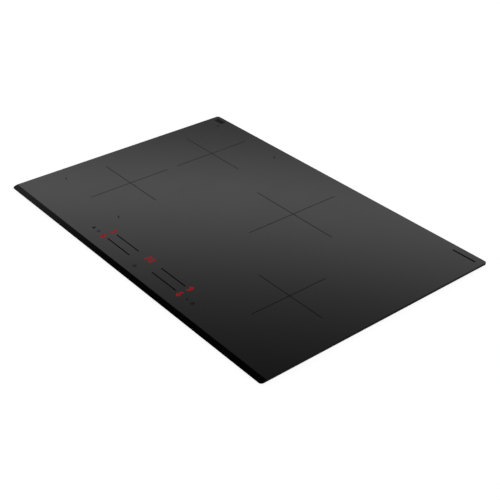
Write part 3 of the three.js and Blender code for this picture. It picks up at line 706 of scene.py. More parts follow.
# ---- Ferrite bars --------------------------------------------------------------------------
# Eight pressed and fired ferrite bars stand like spokes under each coil, round a hub ring, and
# turn its field upwards. They are glued to the carrier sheet.

FERRITE_WIDTH = 14
FERRITE_HUB = 16
HUB_WALL = 8
SPOKES = 8
STAR_MARGIN = 5


def round_node(node):
    """A node's middle, and its radius, base and top in millimetres."""
    low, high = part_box(node)
    return (low + high) / 2, (high.x - low.x) / 2 / MM, low.z / MM, high.z / MM


# Fired ferrite is a matt charcoal ceramic, with fine pores and lighter chips at its edges.
ferrite_ceramic, tree, shader, where = new_finish("fired_ferrite")
pores = add_node(tree, "TexNoise", {"Vector": where, "Scale": 1 / (0.6 * MM), "Detail": 4})
dress(shader, {"Roughness": 0.72}, shades=(pores.outputs["Fac"], "26282b", "45484b"),
      relief=(pores.outputs["Fac"], 0.3, 0.05))

for zone in ZONES:
    middle, _, base, top = round_node(f"ferrite_star_{zone}")
    reach = (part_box(f"coil_former_{zone}")[1].x - middle.x) / MM - STAR_MARGIN
    bars_build = bmesh.new()
    for spoke in range(SPOKES):
        bar = add_slab(bars_build, mm(FERRITE_HUB - HUB_WALL / 2, -FERRITE_WIDTH / 2, base),
                       mm(reach, FERRITE_WIDTH / 2, top))
        turn = Matrix.Rotation((spoke + 0.5) * math.tau / SPOKES, 4, "Z")
        bmesh.ops.transform(bars_build, verts=bar,
                            matrix=Matrix.Translation((middle.x, middle.y, 0)) @ turn)
    hub_inner = FERRITE_HUB - HUB_WALL
    hub = ((hub_inner, base), (FERRITE_HUB, base), (FERRITE_HUB, top), (hub_inner, top))
    add_turned(bars_build, hub, middle.x, middle.y)
    soften(bars_build, 0.5 * MM)
    add_piece(f"ferrite_bars_{zone}", bars_build, ferrite_ceramic, "ferrite", f"ferrite_star_{zone}")

# ---- Coil formers --------------------------------------------------------------------------
# The shallow round pan that each coil is wound in, with a rim and a hub. It is moulded in a
# heat-proof glass-filled resin.

FORMER_FLOOR = 1.2
FORMER_RIM = 2.7
FORMER_HUB, FORMER_HUB_WALL, FORMER_BORE = 13, 1.5, 4

# Glass-filled resin is a warm ivory, and cloudy where the fibres come near the skin.
former_resin = clouded_finish(
    "moulded_heatproof_resin", 1.2, shades=("cdc3ab", "e2dccb"), Detail=5, Distortion=1.5,
    looks={"Roughness": 0.55, "Subsurface Weight": 0.05})

for zone in ZONES:
    middle, outer, base, rim = round_node(f"coil_former_{zone}")
    deck = base + FORMER_FLOOR
    profile = ((FORMER_BORE, base), (outer, base), (outer, rim), (outer - FORMER_RIM, rim),
               (outer - FORMER_RIM, deck), (FORMER_HUB, deck), (FORMER_HUB, rim),
               (FORMER_HUB - FORMER_HUB_WALL, rim), (FORMER_HUB - FORMER_HUB_WALL, deck),
               (FORMER_BORE, deck))
    former_build = bmesh.new()
    add_turned(former_build, profile, middle.x, middle.y)
    soften(former_build, 0.3 * MM)
    add_piece(f"former_{zone}", former_build, former_resin, "former_plastic", f"coil_former_{zone}")

# ---- Coil windings -------------------------------------------------------------------------
# Litz wire, wound as one flat spiral of some twenty turns and baked, so that it keeps its shape.
# The wire is pressed a little taller than it is wide.

WIRE_PITCH = 3.3 * MM
WIRE_WIDTH = 3.2 * MM
WINDING_INNER = 22 * MM
KNOTS_A_TURN = 12
STRAND = 0.45


def add_tube(mesh_build, points, radius, fineness=5, smoothness=8):
    """A round wire or sleeve on a smooth route through some points, with closed ends."""
    line = bpy.data.curves.new("line", "CURVE")
    line.dimensions = "3D"
    line.bevel_depth = radius
    line.bevel_resolution = fineness
    line.resolution_u = smoothness
    line.use_fill_caps = True
    spline = line.splines.new("BEZIER")
    spline.bezier_points.add(len(points) - 1)
    for knot, point in zip(spline.bezier_points, points):
        knot.co = point
        knot.handle_left_type = knot.handle_right_type = "AUTO"
    holder = bpy.data.objects.new("line", line)
    mesh = bpy.data.meshes.new_from_object(holder)
    mesh_build.from_mesh(mesh)
    bmesh.ops.remove_doubles(mesh_build, verts=mesh_build.verts[:], dist=0.001 * MM)
    bmesh.ops.recalc_face_normals(mesh_build, faces=mesh_build.faces[:])
    bpy.data.meshes.remove(mesh)
    bpy.data.objects.remove(holder)
    bpy.data.curves.remove(line)


def litz_finish(zone, centre):
    """Enamelled copper strands twisted into a rope: they lean across the wire as it goes round. Their
    colour is painted darker in the grooves between strands: painted shade.
    """
    material, tree, shader, where = new_finish(f"enamelled_litz_wire_{zone}")
    placed = add_node(tree, "Mapping", {"Vector": where, "Location": -centre})
    parts = add_node(tree, "SeparateXYZ", {"Vector": placed.outputs[0]})
    around = add_node(tree, "Math", {0: parts.outputs["Y"], 1: parts.outputs["X"]},
                      operation="ARCTAN2")
    flat = add_node(tree, "CombineXYZ", {"X": parts.outputs["X"], "Y": parts.outputs["Y"]})
    outwards = add_node(tree, "VectorMath", {0: flat.outputs[0]}, operation="LENGTH")
    lay = add_node(tree, "Math", {0: around.outputs[0], 1: 160.0}, operation="MULTIPLY")
    across = add_node(tree, "Math", {0: outwards.outputs["Value"],
                                               1: math.tau / (STRAND * MM)}, operation="MULTIPLY")
    phase = add_node(tree, "Math", {0: lay.outputs[0], 1: across.outputs[0]})
    strand = add_node(tree, "Math", {0: phase.outputs[0]}, operation="SINE")
    height = add_node(tree, "MapRange", {"Value": strand.outputs[0], "From Min": -1})
    # Painted shade: the copper is painted dark brown where the strands dip, from the same height that
    # drives the bump.
    dress(shader, {"Metallic": 0.9, "Roughness": 0.32, "Coat Weight": 0.4},
          shades=(height.outputs[0], "6b2f16", "c9743f"), relief=(height.outputs[0], 0.6, 0.12))
    return material


for zone in ZONES:
    low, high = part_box(f"coil_winding_{zone}")
    middle, outer = (low + high) / 2, (high.x - low.x) / 2
    inner = WINDING_INNER + WIRE_WIDTH / 2
    turns = int((outer - WIRE_WIDTH / 2 - inner) / WIRE_PITCH)
    spiral = []
    for step in range(turns * KNOTS_A_TURN + 1):
        turn = step / KNOTS_A_TURN
        reach = inner + turn * WIRE_PITCH
        spiral.append(Vector((math.cos(turn * math.tau), math.sin(turn * math.tau), 0)) * reach)
    winding_build = bmesh.new()
    add_tube(winding_build, spiral, WIRE_WIDTH / 2, fineness=4, smoothness=4)
    stand_up = Matrix.Diagonal((1, 1, (high.z - low.z) / WIRE_WIDTH, 1))
    bmesh.ops.transform(winding_build, matrix=Matrix.Translation(middle) @ stand_up,
                        verts=winding_build.verts[:])
    add_piece(f"winding_{zone}", winding_build, litz_finish(zone, middle), "copper_winding",
              f"coil_winding_{zone}", crisp=50)

# ---- Mica discs ----------------------------------------------------------------------------
# A punched disc of pressed mica lies on each coil and keeps the glass's heat off the wire.

MICA_BORE = 10

# Pressed mica is a sandy paper of flakes, 1 to 3 mm wide, and each flake glints its own way.
mica_paper, tree, shader, where = new_finish("pressed_mica_paper")
flakes = add_node(tree, "TexVoronoi", {"Vector": where, "Scale": 1 / (2 * MM)})
shade = add_node(tree, "SeparateColor", {"Color": flakes.outputs["Color"]})
dress(shader, shades=(shade.outputs["Red"], "a8997a", "cdbf9f"),
      rough=(shade.outputs["Green"], 0.35, 0.8), relief=(shade.outputs["Blue"], 0.25, 0.03))

for zone in ZONES:
    middle, outer, base, top = round_node(f"mica_disc_{zone}")
    mica_build = bmesh.new()
    add_turned(mica_build, ((MICA_BORE, base), (outer, base), (outer, top), (MICA_BORE, top)),
               middle.x, middle.y)
    soften(mica_build, 0.12 * MM, segments=1)
    add_piece(f"mica_{zone}", mica_build, mica_paper, "mica", f"mica_disc_{zone}")

# ---- Coil sensors --------------------------------------------------------------------------
# A temperature probe in a soft silicone boot stands in each coil's hub and presses up against
# the glass. The boot is moulded in one piece, with a foot and two soft ribs.

# Silicone rubber is dull and a little cloudy, because light goes into it before it comes back.
silicone = clouded_finish("silicone_rubber", 3, shades=("dcd8cd", "f0eee8"), Detail=3, looks={
    "Roughness": 0.68, "Subsurface Weight": 0.2, "Subsurface Radius": mm(2, 1.8, 1.5)})

for zone in ZONES:
    middle, foot, base, top = round_node(f"coil_sensor_{zone}")
    boot = ((0, base), (foot, base), (foot, base + 1.6), (foot - 0.6, base + 2), (foot - 1.4, base + 2.2),
            (foot - 1.8, base + 2.8), (foot - 1.5, base + 3.3), (foot - 1.9, base + 3.8),
            (foot - 1.6, base + 4.3), (foot - 2, top - 0.9), (foot - 2.5, top - 0.2),
            (foot - 3.2, top), (0, top))
    boot_build = bmesh.new()
    add_turned(boot_build, boot, middle.x, middle.y, steps=48)
    add_piece(f"sensor_boot_{zone}", boot_build, silicone, "silicone", f"coil_sensor_{zone}")

# ---- Coil leads ----------------------------------------------------------------------------
# The ends of each coil's litz wire, in a braided glass-fibre sleeve. It goes down through the
# hole in the carrier sheet to the coil's power board.

# Braided glass fibre: white bundles about 0.8 mm wide that cross over and under each other. They are
# painted grey where they dip between each other: painted shade.
glass_sleeve, tree, shader, where = new_finish("braided_glass_fibre")
over = add_node(tree, "TexWave",
                {"Vector": where, "Scale": 1 / (5 * MM), "Distortion": 0.6}, bands_direction="DIAGONAL")
turned = add_node(tree, "Mapping", {"Vector": where, "Rotation": (0, math.pi / 2, 0)})
under = add_node(tree, "TexWave",
                 {"Vector": turned.outputs[0], "Scale": 1 / (5 * MM)}, bands_direction="DIAGONAL")
braid = add_node(tree, "Math", {0: over.outputs["Fac"], 1: under.outputs["Fac"]},
                 operation="MAXIMUM")
# Painted shade: the braid pattern that raises the bundles also paints the gaps between them grey.
dress(shader, {"Roughness": 0.6, "Sheen Weight": 0.2},
      shades=(braid.outputs[0], "a9a59a", "eeece6"), relief=(braid.outputs[0], 0.6, 0.15))

for zone in ZONES:
    low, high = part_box(f"coil_lead_{zone}")
    hole = lead_hole(zone)
    inward = 1 if hole.x - low.x < high.x - hole.x else -1
    lead_build = bmesh.new()
    add_tube(lead_build, [hole + mm(inward * 3, 0, 32.2), hole + mm(inward * 0.8, 0, 26),
                          hole + mm(0, 0, 20), hole + mm(0, 0, 7.4)], LEAD_RADIUS)
    add_piece(f"lead_{zone}", lead_build, glass_sleeve, "cable_white", f"coil_lead_{zone}")

# ---- Power boards --------------------------------------------------------------------------
# Two inverter boards, one under each side of the glass. Each carries film capacitors, a choke,
# a relay, bulk capacitors and three power transistors, all soldered to green fibreglass board.

BOARD_SHEET = 1.6 * MM
BOARD_HOLE_X, BOARD_HOLE_Y = 94, 111
BOARD_HOLE = 1.8 * MM
BOARD_CORNER = 3 * MM
BOARD_ARRIS = 0.1 * MM
BOARD_TOP = (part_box("power_board_left")[0].z + BOARD_SHEET) / MM

# Solder resist is a glossy green lacquer. Tracks about 1.6 mm apart run along or across the
# board under it, and show a little paler than the gaps. Vias, 1.2 mm across on a 5.08 mm grid,
# stand in patches as tinned dots.
solder_resist, tree, shader, where = new_finish("green_solder_resist")
patches = add_node(tree, "TexVoronoi", {"Vector": where, "Scale": 1 / (24 * MM)},
                   voronoi_dimensions="2D", distance="CHEBYCHEV")
patch = add_node(tree, "SeparateColor", {"Color": patches.outputs["Color"]})
crossed = add_node(tree, "Mapping", {"Vector": where, "Rotation": (0, 0, math.pi / 2)})
tracks = [add_node(tree, "TexBrick", {
    "Vector": way, "Color1": linear("1b5a2e"), "Color2": linear("18532a"), "Mortar": linear("134622"),
    "Scale": 1, "Brick Width": 34 * MM, "Row Height": 1.6 * MM, "Mortar Size": 0.2 * MM}, offset=0.37)
    for way in (where, crossed.outputs[0])]
across = add_node(tree, "Math", {0: patch.outputs["Red"], 1: 0.5}, operation="GREATER_THAN")
green = add_node(tree, "Mix", {
    "Factor": across.outputs[0], "A": tracks[0].outputs["Color"], "B": tracks[1].outputs["Color"]},
    data_type="RGBA")
gap = add_node(tree, "Mix", {
    "Factor": across.outputs[0], "A": tracks[0].outputs["Fac"], "B": tracks[1].outputs["Fac"]})
grid = add_node(tree, "TexVoronoi",
                {"Vector": where, "Scale": 1 / (5.08 * MM), "Randomness": 0.0},
                voronoi_dimensions="2D")
dot = add_node(tree, "Math", {0: grid.outputs["Distance"], 1: 0.12}, operation="LESS_THAN")
tinned = add_node(tree, "Math", {0: patch.outputs["Green"], 1: 0.6}, operation="GREATER_THAN")
via = add_node(tree, "Math", {0: dot.outputs[0], 1: tinned.outputs[0]}, operation="MULTIPLY")
tone = add_node(tree, "Mix", {
    "Factor": via.outputs[0], "A": green.outputs[2], "B": linear("c9ccce")}, data_type="RGBA")
raised = add_node(tree, "Bump",
                  {"Height": gap.outputs[0], "Strength": 0.3, "Distance": 0.04 * MM}, invert=True)
set_inputs(shader, {
    "Base Color": tone.outputs[2], "Metallic": via.outputs[0], "Normal": raised.outputs[0],
    "Roughness": 0.3})


def moulded_finish(name, dark, light, roughness, grit):
    """Moulded plastic or potting: its colour drifts between two, over a skin of fine grit."""
    material, tree, shader, where = new_finish(name)
    drift = add_node(tree, "TexNoise", {"Vector": where, "Scale": 1 / (12 * MM)})
    skin = add_node(tree, "TexNoise", {"Vector": where, "Scale": 1 / (grit * MM)}).outputs["Fac"]
    dress(shader, shades=(drift.outputs["Fac"], dark, light),
          rough=(skin, roughness - 0.08, roughness + 0.08), relief=(skin, 0.25, 0.03))
    return material


# Film capacitors have a smooth grey or yellow polyester box. Relays and transistors are moulded
# in black epoxy, and bulk capacitors wear a shrunk black sleeve round an aluminium can.
grey_box = moulded_finish("grey_polyester_box", "8d9296", "9ba0a4", 0.4, 1)
yellow_box = moulded_finish("yellow_polyester_box", "b58a1e", "c99d2c", 0.4, 1)
black_epoxy = moulded_finish("black_moulding_epoxy", "141517", "1d1e20", 0.5, 0.4)
shrunk_sleeve = moulded_finish("shrunk_black_sleeve", "101113", "17181b", 0.25, 3)


def add_can(sleeve_build, top_build, radius, height, x, y):
    """An upright capacitor: a sleeved can with a crimp groove, and a bare scored top."""
    base, top = BOARD_TOP, BOARD_TOP + height
    can = ((0, base), (radius - 0.4, base), (radius, base + 0.5), (radius, base + 1.6),
           (radius - 0.7, base + 2.1), (radius, base + 2.6), (radius, top - 0.7),
           (radius - 0.6, top), (radius - 1.4, top), (radius - 1.4, top - 0.4), (0, top - 0.4))
    add_turned(sleeve_build, can, x * MM, y * MM, steps=48)
    lid = radius - 1.5
    add_turned(top_build, ((0, top - 0.39), (lid, top - 0.39), (lid - 0.2, top - 0.15), (0, top - 0.1)),
               x * MM, y * MM, steps=48)


def board_blank(node):
    """A bare board with round corners, as it comes from the router."""
    low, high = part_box(node)
    blank = bmesh.new()
    add_plate(blank, low, (high.x, high.y, low.z + BOARD_SHEET), BOARD_CORNER, segments=6)
    return blank


def add_blocks(name, blocks, edge, material, slot, segments=2):
    """One piece of several blocks on a power board: inward span, y span and height of each."""
    blocks_build = bmesh.new()
    for inward, (front, rear), height in blocks:
        start, end = sorted(board_x - side * reach for reach in inward)
        add_slab(blocks_build, mm(start, board_y + front, BOARD_TOP),
                 mm(end, board_y + rear, BOARD_TOP + height))
    add_piece(name, soften(blocks_build, edge * MM, segments=segments), material, slot)


for name, side in (("left", -1), ("right", 1)):
    low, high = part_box(f"power_board_{name}")
    board_x, board_y = (low.x + high.x) / 2 / MM, (low.y + high.y) / 2 / MM

    drill_build = bmesh.new()
    for x in (-BOARD_HOLE_X, BOARD_HOLE_X):
        for y in (-BOARD_HOLE_Y, BOARD_HOLE_Y):
            hole = mm(board_x + x, board_y + y, 0)
            add_rod(drill_build, BOARD_HOLE, hole, hole + mm(0, 0, 9))
    board_build = carve(board_blank(f"power_board_{name}"), drill_build)
    soften(board_build, BOARD_ARRIS, segments=1, over=60)
    add_piece(f"inverter_board_{name}", board_build, solder_resist, "circuit_board",
              f"power_board_{name}")

    add_blocks(f"resonance_capacitors_{name}", (
        ((-8, 18), (-100, -58), 16), ((-8, 18), (-48, -6), 16)), 1, grey_box, "former_plastic", 3)
    add_blocks(f"snubber_and_transformer_{name}", (
        ((-8, 6), (6, 40), 14), ((34, 52), (10, 28), 9)), 1, yellow_box, "former_plastic", 3)
    relay = ((34, 56), (80, 100), 15)
    transistors = [((-28, -12), (y - 8, y + 8), 5) for y in (-84, -28, 28)]
    gate_drivers = [((62, 68), (y, y + 8), 1.6) for y in range(-60, 29, 22)]
    add_blocks(f"relay_and_transistors_{name}", [relay, *transistors, *gate_drivers], 0.5, black_epoxy,
               "black_plastic")

    sleeve_build, top_build = bmesh.new(), bmesh.new()
    for across, y, radius, height in ((45, -78, 11, 17), (45, -50, 11, 17), (40, -20, 5, 12),
                                      (52, -20, 5, 12)):
        add_can(sleeve_build, top_build, radius, height, board_x - side * across, board_y + y)
    add_piece(f"bulk_capacitors_{name}", sleeve_build, shrunk_sleeve, "black_plastic")
    add_piece(f"capacitor_tops_{name}", top_build, rolled_aluminium, "aluminium")

    # The filter choke: an E-shaped ferrite core round a bobbin wound with enamelled copper.
    add_blocks(f"choke_core_{name}", (
        ((-8, 22), (52, 60), 12), ((-8, 22), (84, 92), 12), ((-8, -3), (59, 85), 12),
        ((17, 22), (59, 85), 12)), 0.4, ferrite_ceramic, "ferrite")
    choke_middle = mm(board_x - side * 7, board_y + 72, BOARD_TOP + 6)
    bobbin_build = bmesh.new()
    for turn in range(14):
        y = -10.4 + turn * 1.6
        loop = [Vector((math.cos(a) * 7, y + a / math.tau * 1.6, math.sin(a) * 4)) * MM + choke_middle
                for a in (step * math.tau / 12 for step in range(13))]
        add_tube(bobbin_build, loop, 0.8 * MM, fineness=2, smoothness=3)
    add_piece(f"choke_winding_{name}", bobbin_build, litz_finish(f"choke_{name}", choke_middle),
              "copper_winding")

# ---- Heat sinks ----------------------------------------------------------------------------
# A length of extruded aluminium comb, sawn off and screwed down over the power transistors.
# The fan blows along its fins.

FIN_COUNT = 9
FIN = 1.6
SINK_BASE = 3

for name in ("left", "right"):
    low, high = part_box(f"heat_sink_{name}")
    width, height = (high.x - low.x) / MM, (high.z - low.z) / MM
    pitch = (width - FIN) / (FIN_COUNT - 1)
    comb = [(0, 0), (width, 0)]
    for fin in reversed(range(FIN_COUNT)):
        comb += [(fin * pitch + FIN, height), (fin * pitch, height)]
        if fin > 0:
            comb += [(fin * pitch, SINK_BASE), ((fin - 1) * pitch + FIN, SINK_BASE)]
    sink_build = bmesh.new()
    add_extrusion(sink_build, [(low.x + x * MM, low.y, low.z + z * MM) for x, z in comb],
                  (0, high.y - low.y, 0))
    soften(sink_build, 0.25 * MM)
    add_piece(f"fin_comb_{name}", sink_build, mill_drawn_along_y, "aluminium", f"heat_sink_{name}")

# ---- Fan housings --------------------------------------------------------------------------
# A flat blower case, moulded in black plastic. Air comes in through the round hole in its floor,
# over the casing's inlet slots, and leaves at the front. A steel axle stands in its roof.

FAN_WALL = 1.5 * MM
FAN_CHAMBER = 41 * MM
FAN_INLET = 30 * MM
FAN_OUTLET_HALF = 36 * MM
FAN_EAR = 39.5 * MM
EAR_HOLE = 2.1 * MM
AXLE = 1.5 * MM

# Glass-filled plastic, spark-eroded mould: black with a fine even grain, 0.3 mm coarse.
fan_plastic = moulded_finish("grained_black_fan_plastic", "17181a", "1f2022", 0.5, 0.3)

for name in ("left", "right"):
    low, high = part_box(f"fan_housing_{name}")
    middle = (low + high) / 2
    floor_height, roof = low.z + FAN_WALL, high.z - FAN_WALL
    case_build = bmesh.new()
    add_plate(case_build, low, high, 8 * MM)
    hollow_build = bmesh.new()
    add_rod(hollow_build, FAN_CHAMBER, (middle.x, middle.y, floor_height), (middle.x, middle.y, roof),
            steps=96)
    add_slab(hollow_build, (middle.x - FAN_OUTLET_HALF, low.y - MM, floor_height),
             (middle.x + FAN_OUTLET_HALF, middle.y, roof))
    case_build = carve(case_build, hollow_build)
    inlet_build = bmesh.new()
    add_rod(inlet_build, FAN_INLET, (middle.x, middle.y, low.z - MM),
            (middle.x, middle.y, floor_height + MM), steps=96)
    for x in (-1, 1):
        for y in (-1, 1):
            ear = middle + Vector((x, y, 0)) * FAN_EAR
            add_rod(inlet_build, EAR_HOLE, (ear.x, ear.y, low.z - MM), (ear.x, ear.y, high.z + MM))
    case_build = carve(case_build, inlet_build)
    add_rod(case_build, AXLE, (middle.x, middle.y, floor_height + MM),
            (middle.x, middle.y, roof + 0.5 * MM), steps=32)
    soften(case_build, 0.35 * MM)
    add_piece(f"blower_case_{name}", case_build, fan_plastic, "black_plastic", f"fan_housing_{name}")

# ---- Fan rotors ----------------------------------------------------------------------------
# A drum impeller: curved vanes hang from a disc, round a motor hub that turns on the axle.

VANES = 15
VANE_SHEET = 1.2
VANE_START, VANE_SPAN = 25, 11.4
VANE_LEAN = math.radians(22)

rotor_plastic = moulded_finish("satin_black_rotor_plastic", "202124", "2a2b2e", 0.38, 0.8)

for name in ("left", "right"):
    low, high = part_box(f"fan_rotor_{name}")
    middle, base, top = (low + high) / 2, low.z / MM, high.z / MM
    hub = ((1.6, base + 2.2), (2.6, base + 2), (12, base + 2), (13, base + 3), (13, top - 1.6),
           (13.8, top - 1.2), (36.6, top - 1.2), (37, top - 0.9), (37, top - 0.2), (36.6, top),
           (14, top), (12.5, top - 0.3), (1.6, top - 0.3))
    rotor_build = bmesh.new()
    add_turned(rotor_build, hub, middle.x, middle.y)
    vane_build = bmesh.new()
    arc = [VANE_START + step * VANE_SPAN / 8 for step in range(9)]
    lean = [VANE_LEAN * ((reach - VANE_START) / VANE_SPAN) ** 1.4 for reach in arc]
    outer_edge = [(r + VANE_SHEET / 2, a - VANE_SHEET / 2 / r) for r, a in zip(arc, lean)]
    inner_edge = [(r - VANE_SHEET / 2, a + VANE_SHEET / 2 / r) for r, a in zip(arc, lean)]
    ring = outer_edge + inner_edge[::-1]
    add_extrusion(vane_build, [(r * math.cos(a) * MM, r * math.sin(a) * MM, low.z) for r, a in ring],
                  (0, 0, high.z - low.z - 0.6 * MM))
    soften(vane_build, 0.2 * MM, segments=1, over=60)
    add_copies(rotor_build, vane_build, [
        Matrix.Translation((middle.x, middle.y, 0)) @ Matrix.Rotation(vane * math.tau / VANES, 4, "Z")
        for vane in range(VANES)])
    add_piece(f"impeller_{name}", rotor_build, rotor_plastic, "black_plastic", f"fan_rotor_{name}",
              body=f"fan_{name}")

# ---- Filter board --------------------------------------------------------------------------
# The mains comes in here, through two ring chokes and two film capacitors, and goes out to both
# power boards. The sockets at its edges take the harnesses.

board_build = soften(board_blank("filter_board"), BOARD_ARRIS, segments=1, over=60)
add_piece("mains_filter_board", board_build, solder_resist, "circuit_board", "filter_board")

capacitors_build = bmesh.new()
for x in (76, 100):
    add_slab(capacitors_build, mm(x - 8, 140, BOARD_TOP), mm(x + 8, 196, BOARD_TOP + 16))
soften(capacitors_build, 1 * MM, segments=3)
add_piece("mains_capacitors", capacitors_build, yellow_box, "former_plastic")

cream_nylon = moulded_finish("cream_socket_nylon", "d8d2c0", "e6e1d2", 0.5, 0.8)
sockets_build = bmesh.new()
add_slab(sockets_build, mm(-54, 140, BOARD_TOP), mm(-40, 190, BOARD_TOP + 8))
add_slab(sockets_build, mm(-24, 128, BOARD_TOP), mm(56, 140, BOARD_TOP + 9))
contacts_build = bmesh.new()
for contact in range(5):
    y = 146 + contact * 9.5
    add_slab(contacts_build, mm(-51, y - 2.5, BOARD_TOP + 2), mm(-43, y + 2.5, BOARD_TOP + 9))
for contact in range(8):
    x = -18.5 + contact * 9.8
    add_slab(contacts_build, mm(x - 3, 131, BOARD_TOP + 2), mm(x + 3, 137, BOARD_TOP + 10))
sockets_build = soften(carve(sockets_build, contacts_build), 0.3 * MM)
add_piece("harness_sockets", sockets_build, cream_nylon, "terminal_plastic")

# Each ring choke is a ferrite ring in an epoxy coat with two half windings of thick wire.
RING_X, RING_Y = (0, 45), 168
ring_base, ring_top = BOARD_TOP + 2.5, BOARD_TOP + 12
ring_build = bmesh.new()
for x in RING_X:
    ring = ((6.5, ring_base), (11, ring_base), (11, ring_top), (6.5, ring_top))
    add_turned(ring_build, ring, x * MM, RING_Y * MM)
    foot = ((0, BOARD_TOP), (13.5, BOARD_TOP), (13.5, BOARD_TOP + 1.2), (0, BOARD_TOP + 1.2))
    add_turned(ring_build, foot, x * MM, RING_Y * MM)
soften(ring_build, 1 * MM, segments=3)
add_piece("choke_rings", ring_build, black_epoxy, "ferrite")

for index, x in enumerate(RING_X):
    middle = mm(x, RING_Y, (ring_base + ring_top) / 2)
    loop_build = bmesh.new()
    loop = [mm(8.75 + 3.6 * math.cos(a), 0, 6.1 * math.sin(a))
            for a in (step * math.tau / 12 for step in range(13))]
    add_tube(loop_build, loop, 0.7 * MM, fineness=2, smoothness=3)
    places = [Matrix.Translation(middle) @ Matrix.Rotation(math.radians(start + turn * 11), 4, "Z")
              for start in (20, 200) for turn in range(13)]
    wire_build = bmesh.new()
    add_copies(wire_build, loop_build, places)
    add_piece(f"ring_choke_winding_{index + 1}", wire_build,
              litz_finish(f"ring_choke_{index + 1}", middle), "copper_winding")

# ---- Control board -------------------------------------------------------------------------
# The touch board lies just under the glass. A small steel spring stands under each touch key,
# and a copper strip under each slider line, and both feel a finger through the glass.

low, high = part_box("control_board")
middle = (low + high) / 2
CONTROL_TOP = (low.z + BOARD_SHEET) / MM
board_build = soften(board_blank("control_board"), BOARD_ARRIS, segments=1, over=60)
add_piece("touch_board", board_build, solder_resist, "circuit_board", "control_board")

TOUCH_SPRINGS = ((-156, -7), (-140, -7), (140, -7.5), (156, -7.5), (0, -14.5), (-12, 0), (16, 0))
SPRING_RADIUS = 3.1
SPRING_TURNS = 5

# Hard-drawn spring wire, tinned: a clean grey metal with faint lines along the wire.
spring_wire = clouded_finish("tinned_spring_wire", 0.8, rough=(0.22, 0.36), looks={
    "Base Color": linear("b9bcbf"), "Metallic": 1})

spring_height = (high.z / MM - CONTROL_TOP) - 0.8
helix = []
for step in range(SPRING_TURNS * 12 + 1):
    turn = step / 12
    helix.append(mm(SPRING_RADIUS * math.cos(turn * math.tau), SPRING_RADIUS * math.sin(turn * math.tau),
                    CONTROL_TOP + 0.4 + spring_height * turn / SPRING_TURNS))
one_spring = bmesh.new()
add_tube(one_spring, helix, 0.35 * MM, fineness=2, smoothness=3)
springs_build = bmesh.new()
add_copies(springs_build, one_spring, [
    Matrix.Translation((middle.x + x * MM, middle.y + y * MM, 0)) for x, y in TOUCH_SPRINGS])
add_piece("touch_springs", springs_build, spring_wire, "spring_steel")

strips_build = bmesh.new()
for row in SLIDER_ROWS:
    for start, end in SLIDER_SPANS:
        for key in range(8):
            x = start + (end - start) * (key + 0.5) / 8
            add_slab(strips_build, mm(x - 4, row - 3.5, CONTROL_TOP),
                     mm(x + 4, row + 3.5, CONTROL_TOP + 0.1))
add_piece("touch_strips", strips_build, spring_wire, "copper_winding")

chips_build = bmesh.new()
for x, y, width, depth in ((-60, 12, 12, 12), (60, 14, 9, 9), (-40, -18, 5, 8), (36, -18, 6, 6)):
    centre = mm(middle.x / MM + x, middle.y / MM + y, CONTROL_TOP)
    add_slab(chips_build, centre - mm(width / 2, depth / 2, 0), centre + mm(width / 2, depth / 2, 1.4))
soften(chips_build, 0.2 * MM)
add_piece("touch_chips", chips_build, black_epoxy, "black_plastic")

# ---- Control carrier -----------------------------------------------------------------------
# A shallow black tray on three legs holds the touch board up against the glass.

carrier_plastic = moulded_finish("grained_black_carrier_plastic", "191a1c", "222325", 0.55, 0.4)
carrier_build = soften(copy_of("control_carrier"), 0.4 * MM, over=50)
add_piece("touch_board_tray", carrier_build, carrier_plastic, "black_plastic", "control_carrier")

# ---- Display modules -----------------------------------------------------------------------
# Black boxes with seven-segment light guides in their tops, soldered to the touch board. Two
# digits for each side of the hob stand one above the other, and the timer's stand in a row.

milky_guide, tree, shader, where = new_finish("lit_milky_light_guide")
glow = add_node(tree, "TexNoise", {"Vector": where, "Scale": 1 / (2 * MM)})
redness = add_node(tree, "Mix", {
    "Factor": glow.outputs["Fac"], "A": linear("b01626"), "B": linear("d03038")}, data_type="RGBA")
set_inputs(shader, {
    "Base Color": redness.outputs[2], "Emission Color": redness.outputs[2],
    "Emission Strength": 0.4, "Roughness": 0.4})

for module, digits in DISPLAYS.items():
    low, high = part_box(module)
    box_build = bmesh.new()
    add_slab(box_build, low, high - mm(0, 0, 0.2))
    soften(box_build, 0.5 * MM)
    add_piece(f"{module}_case", box_build, black_epoxy, "display_red", module)
    guides_build = bmesh.new()
    for _, x, y in digits:
        add_digit(guides_build, 8, x, y)
    lift = high.z - INK_TOP
    bmesh.ops.translate(guides_build, vec=(0, 0, lift), verts=guides_build.verts[:])
    add_piece(f"{module}_light_guides", guides_build, milky_guide, "display_red")

# ---- Ribbon and harnesses ------------------------------------------------------------------
# A flat ribbon of grey cores joins the touch board to the left power board. Twisted wires carry
# the mains from the terminals to the filter board, and on to both power boards.

RIBBON_CORES = 10
RIBBON_PITCH = 1.3

# PVC insulation is smooth and faintly glossy, and takes a colour for each core.
grey_pvc = moulded_finish("grey_ribbon_pvc", "b9b8b3", "cbc9c4", 0.4, 2)
brown_pvc = moulded_finish("brown_wire_pvc", "4a2a18", "5a3420", 0.35, 2)
blue_pvc = moulded_finish("blue_wire_pvc", "1c3f7a", "24508f", 0.35, 2)
black_pvc = moulded_finish("black_wire_pvc", "151618", "1c1d1f", 0.35, 2)

ribbon_route = ((-171, -206, 33.4), (-171, -206, 26), (-171, -180, 12), (-171, -122, 9.5))
ribbon_build = bmesh.new()
for core in range(RIBBON_CORES):
    shift = (core - (RIBBON_CORES - 1) / 2) * RIBBON_PITCH
    add_tube(ribbon_build, [mm(x + shift, y, z) for x, y, z in ribbon_route], RIBBON_PITCH / 2 * MM,
             fineness=2)
add_piece("ribbon_cable", ribbon_build, grey_pvc, "cable_white", "control_ribbon")


